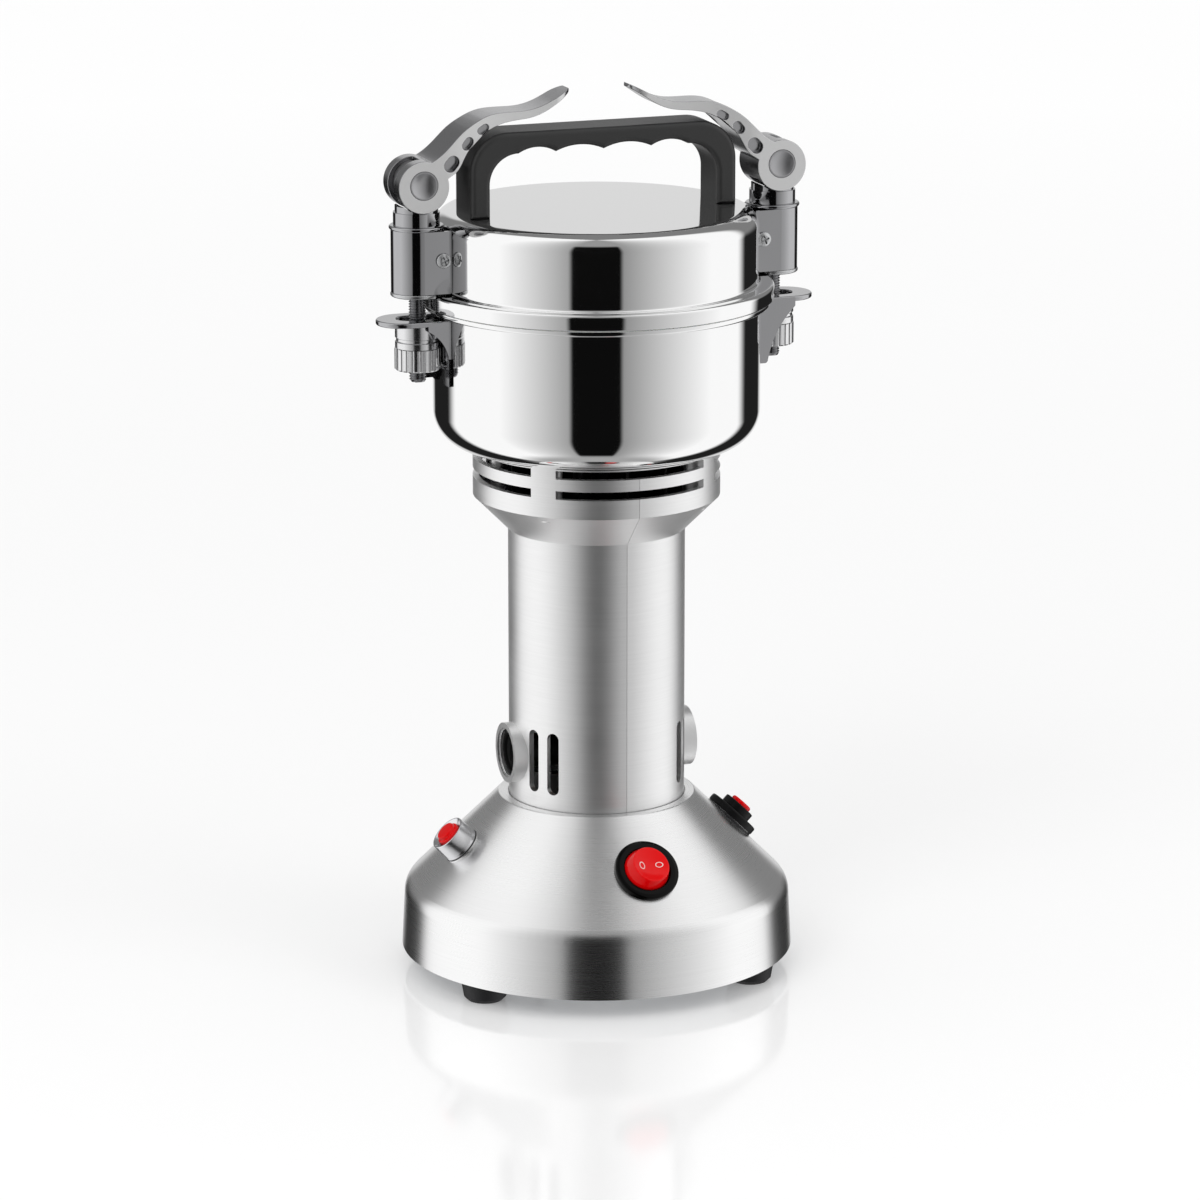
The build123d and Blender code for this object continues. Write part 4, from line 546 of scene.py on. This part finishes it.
# ======================================================================== clamp rods
# M8 studding rolled from zinc-plated steel hangs each clamp from its lever and runs through
# the bracket down into the nut; the thread is a real helix of 1.25 mm pitch.
clamp_spread = 87.5
rod_radius, thread_depth = 4, 0.62
crest, flank, root = 0.16, 0.47, 0.15
pitch = crest + flank + root + flank
rod_foot, thread_end, plain_length = 290, 355, 26.8
point_length, point_share = 0.9, 0.84
run_in, thread_turns, thread_sides = 4, 57, 24
thread_weld = 0.005 * MM

# Rolled steel: mid grey, its flanks burnished by the rolling dies.
rod_steel = polished_metal("rolled_thread_steel", "#9c9c9e", roughness=0.2, swirl=0.004)

# The helix starts below the rod's foot and ends above its thread, and is cut off square there.
bpy.ops.object.select_all(action="DESELECT")
bpy.ops.mesh.primitive_plane_add(size=MM, location=(0, 0, 0))
left_rod = bpy.context.object
left_rod.name = "clamp_rod_left"
bpy.ops.object.mode_set(mode="EDIT")
bpy.ops.mesh.merge(type="CENTER")
bpy.ops.transform.translate(value=Vector((rod_radius, 0, rod_foot - run_in)) * MM)
for step in ((0, 0, crest), (-thread_depth, 0, flank), (0, 0, root), (thread_depth, 0, flank)):
    bpy.ops.mesh.extrude_region_move(TRANSFORM_OT_translate={"value": Vector(step) * MM})
bpy.ops.object.mode_set(mode="OBJECT")
helix = left_rod.modifiers.new("thread", "SCREW")
helix.axis = "Z"
helix.angle = 2 * pi
helix.screw_offset = pitch * MM
helix.iterations = thread_turns
helix.steps = thread_sides
helix.render_steps = thread_sides
helix.use_merge_vertices = True
helix.merge_threshold = thread_weld
bpy.ops.object.modifier_apply(modifier=helix.name)
bpy.ops.object.mode_set(mode="EDIT")
bpy.ops.mesh.select_all(action="SELECT")
bpy.ops.mesh.remove_doubles(threshold=thread_weld)
bpy.ops.mesh.bisect(
    plane_co=(0, 0, rod_foot * MM), plane_no=(0, 0, 1), use_fill=True, clear_inner=True
)
bpy.ops.mesh.extrude_region_move(TRANSFORM_OT_translate={"value": (0, 0, -point_length * MM)})
bpy.ops.transform.resize(value=(point_share, point_share, 1))
bpy.ops.mesh.select_all(action="SELECT")
bpy.ops.mesh.bisect(
    plane_co=(0, 0, thread_end * MM), plane_no=(0, 0, 1), use_fill=True, clear_outer=True
)
bpy.ops.mesh.extrude_region_move(TRANSFORM_OT_translate={"value": (0, 0, plain_length * MM)})
bpy.ops.mesh.select_all(action="SELECT")
bpy.ops.transform.translate(value=(-clamp_spread * MM, 0, 0))
bpy.ops.mesh.normals_make_consistent(inside=False)
bpy.ops.object.mode_set(mode="OBJECT")
bpy.ops.object.shade_smooth_by_angle(angle=radians(30))
right_rod = copied(left_rod, "clamp_rod_right", move=(2 * clamp_spread, 0, 0))
for rod in (left_rod, right_rod):
    fit(rod, rod_steel, "lid", "fastener_steel", "clamp_rods")

# ======================================================================== levers
# Each cam lever is die-cast in zinc, tumbled, and ground flat on its side faces; its fork turns
# on a steel barrel that the rod hangs from, and three pockets in each side lighten the arm.


def softened(name, source, width, finish, body, slot):
    """A merged copy of a solid takes its place, its sharp edges rounded over width millimetres."""
    bpy.ops.object.select_all(action="DESELECT")
    piece = bpy.data.objects.new(name, nodes[source].data.copy())
    bpy.context.scene.collection.objects.link(piece)
    piece.select_set(True)
    bpy.context.view_layer.objects.active = piece
    bpy.ops.object.mode_set(mode="EDIT")
    bpy.ops.mesh.select_all(action="SELECT")
    bpy.ops.mesh.remove_doubles(threshold=weld)
    bpy.ops.mesh.dissolve_limited(angle_limit=radians(1))
    bpy.ops.object.mode_set(mode="OBJECT")
    edge = piece.modifiers.new("edge_round", "BEVEL")
    edge.width = width * MM
    edge.segments = 3
    edge.limit_method = "ANGLE"
    edge.angle_limit = radians(35)
    edge.use_clamp_overlap = False
    bpy.ops.object.modifier_apply(modifier=edge.name)
    bpy.ops.object.shade_smooth_by_angle(angle=radians(40))
    bpy.ops.object.modifier_add(type="WEIGHTED_NORMAL")
    even = piece.modifiers[-1]
    even.keep_sharp = True
    bpy.ops.object.modifier_apply(modifier=even.name)
    fit(piece, finish, body, slot, source)


# Die-cast zinc: the flats are ground and satin, while the strap, the pockets and the fork keep a glossier
# cast skin, uneven over about 4 mm. The flats' paler colour is painted light, and the darker colour of the
# strap, the fork and the pockets is painted shade. The flats face along Y; inside the arm, less than 9.3 mm
# from the middle and beyond
# 52 mm from the axis, nothing is ground.
flat_half, pocket_start = 9.3, 52
cast_zinc, shader = new_finish("tumbled_die_cast_zinc", "#e4e4e4", Metallic=1.0, Roughness=0.3)
reading = add_node(cast_zinc, "ShaderNodeTexCoord")
place = reading.outputs["Object"]
facing = add_node(cast_zinc, "ShaderNodeSeparateXYZ", {0: reading.outputs["Normal"]})
sideways = add_node(cast_zinc, "ShaderNodeMath", {0: facing.outputs[1]}, operation="ABSOLUTE")
flat = add_node(
    cast_zinc, "ShaderNodeMapRange", {"Value": sideways.outputs[0], "From Min": 0.8, "From Max": 0.95}
)
unsigned = add_node(cast_zinc, "ShaderNodeVectorMath", {0: place}, operation="ABSOLUTE")
apart = add_node(cast_zinc, "ShaderNodeSeparateXYZ", {0: unsigned.outputs[0]})
inner = add_node(
    cast_zinc, "ShaderNodeMath", {0: apart.outputs[1], 1: flat_half * MM}, operation="LESS_THAN"
)
beyond = add_node(
    cast_zinc, "ShaderNodeMath", {0: apart.outputs[0], 1: pocket_start * MM}, operation="GREATER_THAN"
)
unground_shaded_pockets = add_node(
    cast_zinc, "ShaderNodeMath", {0: inner.outputs[0], 1: beyond.outputs[0]}, operation="MULTIPLY"
)
ground_and_lit_flats = add_node(
    cast_zinc, "ShaderNodeMath",
    {0: flat.outputs[0], 1: unground_shaded_pockets.outputs[0]},
    operation="SUBTRACT", use_clamp=True,
).outputs[0]
# Painted light and shade: the flats facing along Y are coloured paler, the strap, fork and pockets darker.
tone = add_node(
    cast_zinc, "ShaderNodeMix", {0: ground_and_lit_flats, 6: linear("#b2b2b4"), 7: linear("#e6e6e6")}, data_type="RGBA"
)
wire(cast_zinc, tone.outputs[2], shader, "Base Color")
metal = add_node(cast_zinc, "ShaderNodeMapRange", {"Value": ground_and_lit_flats, "To Min": 1.0, "To Max": 0.78})
wire(cast_zinc, metal.outputs[0], shader, "Metallic")
skin = add_node(
    cast_zinc, "ShaderNodeTexNoise", {"Vector": place, "Scale": 1 / (3.846 * MM), "Detail": 2.0}
).outputs["Fac"]
cast_gloss = add_node(cast_zinc, "ShaderNodeMapRange", {"Value": skin, "To Min": 0.18, "To Max": 0.26})
gloss = add_node(
    cast_zinc, "ShaderNodeMix", {0: ground_and_lit_flats, 2: cast_gloss.outputs[0], 3: 0.42}, data_type="FLOAT"
)
wire(cast_zinc, gloss.outputs[0], shader, "Roughness")
bump = add_node(cast_zinc, "ShaderNodeBump", {"Height": skin, "Distance": 0.003 * MM, "Strength": 0.5})
wire(cast_zinc, bump.outputs[0], shader, "Normal")
tumbled_edge = 0.28
for hand in ("left", "right"):
    softened(f"cam_lever_{hand}", f"lever_{hand}", tumbled_edge, cast_zinc, f"{hand}_lever", "cast_zinc")

# Turned bar steel: grey and satin, its faced ends softly lit.
turned_pin = polished_metal("turned_steel_pin", "#b4b4b6", roughness=0.36, swirl=0.003)
dress(turned_pin, "cam_barrels")

# ======================================================================== brush caps
# A moulded cap with a coin slot screws into each boss over its brush; the boss's machined
# rim stands round it.
cap_place = Vector((-41.25, 0, 107))
outwards, rearwards = (-1, 0, 0), (0, 1, 0)
rim_inside, rim_outside, rim_depth = 11.1, 11.5, 3.4
cap_radius, cap_edge, cap_middle, cap_groove = 11.0, 1.9, 1.7, 0.6
slot_length, slot_width, slot_floor, slot_cut = 8.6, 1.5, 0.7, 2.4

# Phenolic pressed in a matt mould: flat black that takes almost no light. The real grain is
# 0.2 mm wide, drawn at 0.7 mm.
phenolic, shader = new_finish("moulded_black_phenolic", "#0a0a0a", Roughness=0.6, Specular_IOR_Level=0.06)
place = add_node(phenolic, "ShaderNodeTexCoord").outputs["Object"]
grain = add_node(
    phenolic, "ShaderNodeTexNoise", {"Vector": place, "Scale": 1 / (0.6667 * MM), "Detail": 2.0}
).outputs["Fac"]
bump = add_node(phenolic, "ShaderNodeBump", {"Height": grain, "Distance": 0.02 * MM, "Strength": 0.4})
wire(phenolic, bump.outputs[0], shader, "Normal")
gloss = add_node(phenolic, "ShaderNodeMapRange", {"Value": grain, "To Min": 0.5, "To Max": 0.7})
wire(phenolic, gloss.outputs[0], shader, "Roughness")

left_rim = spun(
    "brush_rim_left",
    rounded(
        (rim_inside, 0, 0), (rim_outside, 0, 0), (rim_outside, rim_depth, 0.15),
        (rim_inside, rim_depth, 0.15),
    ),
    cap_place, outwards, rearwards, steps=96,
)
left_cap = spun(
    "brush_cap_left",
    rounded(
        (0, 0, 0), (cap_radius, 0, 0), (cap_radius, cap_edge, 0.4), (9.2, cap_edge, 0.5),
        (8.6, cap_groove, 0.3), (6.5, cap_groove, 0.3), (6.0, cap_middle, 0.4), (0, cap_middle, 0),
    ),
    cap_place, outwards, rearwards, steps=96,
)
coin_slot = cap_place - Vector((slot_floor + slot_cut / 2, 0, 0))
cut_slot(left_cap, (slot_cut, slot_width, slot_length), coin_slot)
for rim in (left_rim, copied(left_rim, "brush_rim_right", flip=(-1, 1, 1))):
    fit(rim, cast_aluminium, "stand", "cast_alloy", "brush_caps")
for cap in (left_cap, copied(left_cap, "brush_cap_right", flip=(-1, 1, 1))):
    fit(cap, phenolic, "stand", "black_plastic", "brush_caps")

# ======================================================================== rocker switch
# The switch snaps into the cone from outside: a moulded black frame round a red rocker with
# a dished top, printed with an oval at each end. It rests with its right half pressed.
cone_radius, cone_height = 67.7, 63.3
slant = sin(pi / 4)
body_radius, body_foot, well_floor = 11.9, -18, -7
frame_radius, frame_opening, frame_foot, frame_top = 15.25, 11.05, -1.2, 2.6
rocker_radius, rocker_foot = 10.8, -2.6
rim_height, dish_radius, dish_depth = 5.5, 8.2, 1.3
mark_radius, line_radius, mark_reach = 1.75, 0.25, 4.4


def moulded_gloss(name, colour, roughness, **constants):
    """Injection-moulded plastic from a polished tool: glossy, with faint flow marks 6 mm wide."""
    finish, shader = new_finish(name, colour, Roughness=roughness, **constants)
    place = add_node(finish, "ShaderNodeTexCoord").outputs["Object"]
    flow = add_node(
        finish, "ShaderNodeTexNoise",
        {"Vector": place, "Scale": 1 / (6.25 * MM), "Detail": 3.0, "Distortion": 0.8},
    ).outputs["Fac"]
    gloss = add_node(
        finish, "ShaderNodeMapRange",
        {"Value": flow, "To Min": roughness * 0.6, "To Max": roughness * 1.5},
    )
    wire(finish, gloss.outputs[0], shader, "Roughness")
    bump = add_node(finish, "ShaderNodeBump", {"Height": flow, "Distance": 0.0015 * MM, "Strength": 0.5})
    wire(finish, bump.outputs[0], shader, "Normal")
    return finish


# Polished ABS: deep black with a small clean highlight.
gloss_black = moulded_gloss("gloss_black_abs", "#050505", roughness=0.14, Specular_IOR_Level=0.14)
# Polished polycarbonate, coloured through: a strong signal red with crisp highlights.
red_plastic = moulded_gloss(
    "gloss_red_polycarbonate", "#e2060a", roughness=0.08, Specular_IOR_Level=0.22
)
# Pad-printed ink: warm white and matt, its film uneven over 0.4 mm.
mark_ink, shader = new_finish("printed_white_ink", "#f0dcd8", Roughness=0.5)
place = add_node(mark_ink, "ShaderNodeTexCoord").outputs["Object"]
film = add_node(mark_ink, "ShaderNodeTexNoise", {"Vector": place, "Scale": 1 / (0.4 * MM)})
gloss = add_node(mark_ink, "ShaderNodeMapRange", {"Value": film.outputs["Fac"], "To Min": 0.4, "To Max": 0.6})
wire(mark_ink, gloss.outputs[0], shader, "Roughness")

switch_seat = Vector((0, -cone_radius, cone_height))
switch_axis = Vector((0, -slant, slant))
bezel = spun(
    "switch_frame",
    rounded(
        (0, body_foot, 0), (body_radius, body_foot, 1.0), (body_radius, frame_foot, 0),
        (frame_radius, frame_foot, 0.2), (frame_radius, frame_top - 0.5, 1.0), (13.4, frame_top, 1.2),
        (frame_opening, frame_top, 0.4), (frame_opening, well_floor, 0), (0, well_floor, 0),
    ),
    switch_seat, switch_axis, steps=128,
)
fit(bezel, gloss_black, "stand", "gloss_black", "switch_body")

# The rocker is dished in rings from its rim to its middle, along a parabola.
lean = radians(8)
pivot_rise = 1.8
pivot = switch_seat + switch_axis * pivot_rise
rocker_axis = Vector((sin(lean), -slant * cos(lean), slant * cos(lean)))
rocker_side = Vector((cos(lean), slant * sin(lean), -slant * sin(lean)))
rings = 8
dish = [
    (dish_radius * k / rings, rim_height - 0.15 - dish_depth * (1 - (k / rings) ** 2), 0)
    for k in range(rings, -1, -1)
]
rocker = spun(
    "dished_rocker",
    rounded(
        (0, rocker_foot, 0), (rocker_radius - 0.25, rocker_foot, 0.4), (rocker_radius, -0.6, 2),
        (rocker_radius - 0.35, 1.2, 2), (dish_radius + 0.75, rim_height, 0.5), *dish,
    ),
    pivot, rocker_axis, rocker_side, steps=128,
)
fit(rocker, red_plastic, "rocker", "gloss_red", "rocker")

# Each mark is a flattened oval ring that lies in the dish, square to its slope; the right one
# is turned a quarter.
mark_height = rim_height - 0.11 - dish_depth * (1 - (mark_reach / dish_radius) ** 2)
bpy.ops.object.select_all(action="DESELECT")
bpy.ops.mesh.primitive_torus_add(
    major_radius=mark_radius * MM, minor_radius=line_radius * MM, major_segments=48, minor_segments=8
)
left_mark = bpy.context.object
left_mark.name = "rocker_mark_left"
bpy.ops.object.mode_set(mode="EDIT")
bpy.ops.transform.resize(value=(0.72, 1.0, 0.4))
bpy.ops.object.mode_set(mode="OBJECT")
bpy.ops.object.shade_smooth_by_angle(angle=radians(60))
right_mark = copied(left_mark, "rocker_mark_right")
for mark, end, turned in ((left_mark, -1, 0), (right_mark, 1, 90)):
    slope = -atan2(2 * dish_depth * mark_reach * end, dish_radius**2)
    mark_side = rocker_side * cos(slope) - rocker_axis * sin(slope)
    mark_axis = rocker_axis * cos(slope) + rocker_side * sin(slope)
    laid = Matrix((mark_side, mark_axis.cross(mark_side), mark_axis)).transposed()
    laid = laid @ Matrix.Rotation(radians(turned), 3, "Z")
    centre = pivot + rocker_side * mark_reach * end + rocker_axis * mark_height
    bpy.ops.object.select_all(action="DESELECT")
    mark.select_set(True)
    bpy.context.view_layer.objects.active = mark
    mark.matrix_world = Matrix.Translation(centre * MM) @ laid.to_4x4()
    bpy.ops.object.transform_apply(location=True, rotation=True, scale=True)
    fit(mark, mark_ink, "rocker", "nylon")

# ======================================================================== reset button
# A chromed brass cup with a funnel mouth holds the stepped red plunger; a rubber gasket
# seals it to the cone.

# Chromed brass: bright, with reflections just softened by the turning under the plate.
chrome = polished_metal("chromed_brass", "#e6e6e8", roughness=0.2, swirl=0.003)
reset_seat = (-cone_radius, 0, cone_height)
reset_axis = (-slant, 0, slant)
gasket_bore, gasket_radius, gasket_foot, gasket_top = 7.5, 9.5, -0.6, 0.7
sleeve_bore, sleeve_radius, sleeve_foot = 6.1, 7.4, -9
collar_radius, cup_top, funnel_foot = 9.4, 10.3, 8.2
button_radius, button_clearance, button_foot, button_top = 4.7, 0.25, -10.95, 12.3
gasket = spun(
    "cone_gasket",
    rounded(
        (gasket_bore, gasket_foot, 0), (gasket_radius, gasket_foot, 0),
        (gasket_radius, gasket_top, 0.2), (gasket_bore, gasket_top, 0),
    ),
    reset_seat, reset_axis, rearwards, steps=96,
)
fit(gasket, rubber, "stand", "black_rubber", "reset_gasket")
cup = spun(
    "reset_cup",
    rounded(
        (sleeve_bore, sleeve_foot, 0), (sleeve_radius, sleeve_foot, 0), (sleeve_radius, gasket_top, 0),
        (collar_radius, gasket_top, 0.2), (collar_radius - 0.25, 2.0, 0.6),
        (collar_radius - 0.4, cup_top, 0.35), (8.35, cup_top, 0.25), (sleeve_bore, funnel_foot, 0.3),
    ),
    reset_seat, reset_axis, rearwards, steps=96,
)
fit(cup, chrome, "stand", "polished_steel", "reset_collar")
stem_radius = sleeve_bore - button_clearance
stop_top = sleeve_foot - button_clearance
plunger = spun(
    "reset_plunger",
    rounded(
        (0, button_foot, 0), (sleeve_radius, button_foot, 0), (sleeve_radius, stop_top, 0),
        (stem_radius, stop_top, 0), (stem_radius, cup_top, 0.7), (button_radius + 0.1, cup_top + 0.1, 0.25),
        (button_radius, button_top - 0.3, 0.6), (0, button_top, 0),
    ),
    reset_seat, reset_axis, rearwards, steps=96,
)
fit(plunger, red_plastic, "reset_button", "gloss_red", "reset_button")

# ======================================================================== overload protector
# The protector's threaded neck comes through the cone, held by a moulded ring nut over a
# rubber washer; its red button pops up when it trips.
case_edge, nut_edge, button_edge = 0.6, 0.9, 0.5
neck_hole, washer_radius, washer_foot, washer_top = 8.3, 13.0, -1.1, 0.3
softened("overload_case", "overload_body", case_edge, black_plastic, "stand", "black_plastic")
softened("ring_nuts", "panel_nuts", nut_edge, black_plastic, "stand", "black_plastic")
softened("overload_plunger", "overload_button", button_edge, red_plastic, "overload_button", "gloss_red")
washer = spun(
    "overload_washer",
    rounded(
        (neck_hole, washer_foot, 0), (washer_radius, washer_foot, 0), (washer_radius, washer_top, 0.2),
        (neck_hole, washer_top, 0),
    ),
    (cone_radius, 0, cone_height), (slant, 0, slant), rearwards, steps=96,
)
fit(washer, rubber, "stand", "black_rubber")

# ======================================================================== studio
# A white acrylic floor with a faint mirror in it, two soft boxes, and a surround of cards that
# only polished metal sees: a black one behind the camera, grey to white round both sides.
floor_size = 12
bpy.ops.object.select_all(action="DESELECT")
bpy.ops.mesh.primitive_plane_add(size=floor_size, location=(0, 0, 0))
floor = bpy.context.object
floor.name = "studio_floor"

# Cast acrylic sheet: white, with a glossy face. The camera sees it a little brighter than the
# lamps make it, and more so 2.6 m away, where they no longer reach.
acrylic, shader = new_finish("white_acrylic_floor", "#f4f4f4", Roughness=0.1, Specular_IOR_Level=0.7)
shader.inputs["Emission Color"].default_value = (1, 1, 1, 1)
rays = add_node(acrylic, "ShaderNodeLightPath")
place = add_node(acrylic, "ShaderNodeTexCoord").outputs["Object"]
distance = add_node(acrylic, "ShaderNodeVectorMath", {0: place}, operation="LENGTH").outputs["Value"]
spill = add_node(
    acrylic, "ShaderNodeMapRange",
    {"Value": distance, "From Min": 0.3, "From Max": 2.6, "To Min": 0.17, "To Max": 0.27},
)
glow = add_node(
    acrylic, "ShaderNodeMath",
    {0: rays.outputs["Is Camera Ray"], 1: spill.outputs[0]},
    operation="MULTIPLY",
)
wire(acrylic, glow.outputs[0], shader, "Emission Strength")
floor.data.materials.append(acrylic)
floor.visible_glossy = False

# The surround is measured from the camera: bearing goes round from its side, and rise is the
# sine of the height. The camera stands 20 degrees to the left of the mill's front.
turn_sine, turn_cosine = 0.342, 0.940
world = bpy.data.worlds.new("studio_surround")
world.use_nodes = True
bpy.context.scene.world = world
for stock in list(world.node_tree.nodes):
    world.node_tree.nodes.remove(stock)
rays = add_node(world, "ShaderNodeLightPath")
aim = add_node(world, "ShaderNodeTexCoord").outputs["Generated"]
rise = add_node(world, "ShaderNodeSeparateXYZ", {0: aim}).outputs[2]
near = add_node(
    world, "ShaderNodeVectorMath", {0: aim, 1: (-turn_sine, -turn_cosine, 0)}, operation="DOT_PRODUCT"
)
right = add_node(
    world, "ShaderNodeVectorMath", {0: aim, 1: (turn_cosine, -turn_sine, 0)}, operation="DOT_PRODUCT"
)
bearing = add_node(
    world, "ShaderNodeMath", {0: right.outputs["Value"], 1: near.outputs["Value"]}, operation="ARCTAN2"
).outputs[0]
turned = add_node(world, "ShaderNodeMath", {0: bearing}, operation="ABSOLUTE").outputs[0]


def card(behind, brightness, *edges):
    """Hang a card over what is behind it; each edge is (measure, where it starts, where it is full)."""
    cover = 1.0
    for measure, starts, full in edges:
        edge = add_node(
            world, "ShaderNodeMapRange",
            {"Value": measure, "From Min": starts, "From Max": full},
            interpolation_type="SMOOTHSTEP",
        )
        cover = add_node(world, "ShaderNodeMath", {0: cover, 1: edge.outputs[0]}, operation="MULTIPLY")
        cover = cover.outputs[0]
    return add_node(
        world, "ShaderNodeMix", {0: cover, 2: behind, 3: brightness}, data_type="FLOAT"
    ).outputs[0]


# Paper sweeps at both sides brighten away from the camera.
sweeps = [
    add_node(
        world, "ShaderNodeMapRange",
        {
            "Value": bearing, "From Min": radians(start), "From Max": radians(end),
            "To Min": darkest, "To Max": 1.06,
        },
    ).outputs[0]
    for start, end, darkest in ((15, 88, 0.27), (-15, -72, 0.33))
]
shown = add_node(world, "ShaderNodeMath", {0: sweeps[0], 1: sweeps[1]}, operation="MAXIMUM").outputs[0]
# Dark cloth hangs at the far sides, darkest below.
cloth = add_node(
    world, "ShaderNodeMapRange",
    {"Value": rise, "From Min": -0.15, "From Max": 0.1, "To Min": 0.015, "To Max": 0.22},
    interpolation_type="SMOOTHSTEP",
).outputs[0]
shown = card(shown, cloth, (turned, radians(117), radians(130)))
# A narrow black flag stands before the camera.
shown = card(shown, 0.004, (turned, radians(20), radians(16)), (rise, 0.76, 0.6), (rise, -0.93, -0.84))
# A pale card stands low behind the mill, and the table is grey right below.
shown = card(shown, 0.74, (turned, radians(158), radians(168)), (rise, 0.5, 0.35))
shown = card(shown, 0.4, (rise, -0.86, -0.96))
lit = add_node(
    world, "ShaderNodeMix", {0: rays.outputs["Is Glossy Ray"], 2: 0.75, 3: shown}, data_type="FLOAT"
)
seen = add_node(
    world, "ShaderNodeMix", {0: rays.outputs["Is Camera Ray"], 2: lit.outputs[0], 3: 1.0}, data_type="FLOAT"
)
light = add_node(world, "ShaderNodeBackground", {"Color": (1, 1, 1, 1), "Strength": seen.outputs[0]})
add_node(world, "ShaderNodeOutputWorld", {"Surface": light.outputs[0]})

softbox_size = 1.4
lamp_target = Vector((0, 0, 0.2))
for name, place, power in (
    ("key_softbox", (-1.6, -1.4, 1.9), 16),
    ("fill_softbox", (1.5, -1.6, 1.5), 9),
):
    bpy.ops.object.light_add(type="AREA", location=place)
    lamp = bpy.context.object
    lamp.name = name
    lamp.data.shape = "SQUARE"
    lamp.data.size = softbox_size
    lamp.data.energy = power
    lamp.rotation_euler = (lamp_target - Vector(place)).to_track_quat("-Z", "Y").to_euler()
    lamp.visible_glossy = False

camera_drop = radians(14.55)
sight = Vector((turn_sine * cos(camera_drop), turn_cosine * cos(camera_drop), -sin(camera_drop)))
bpy.ops.object.camera_add(location=(-0.8190, -2.2559, 0.800))
camera = bpy.context.object
camera.name = "studio_camera"
camera.rotation_euler = sight.to_track_quat("-Z", "Y").to_euler()
camera.data.lens = 157.8
camera.data.sensor_width = 36
bpy.context.scene.camera = camera
bpy.context.scene.view_settings.view_transform = "Standard"
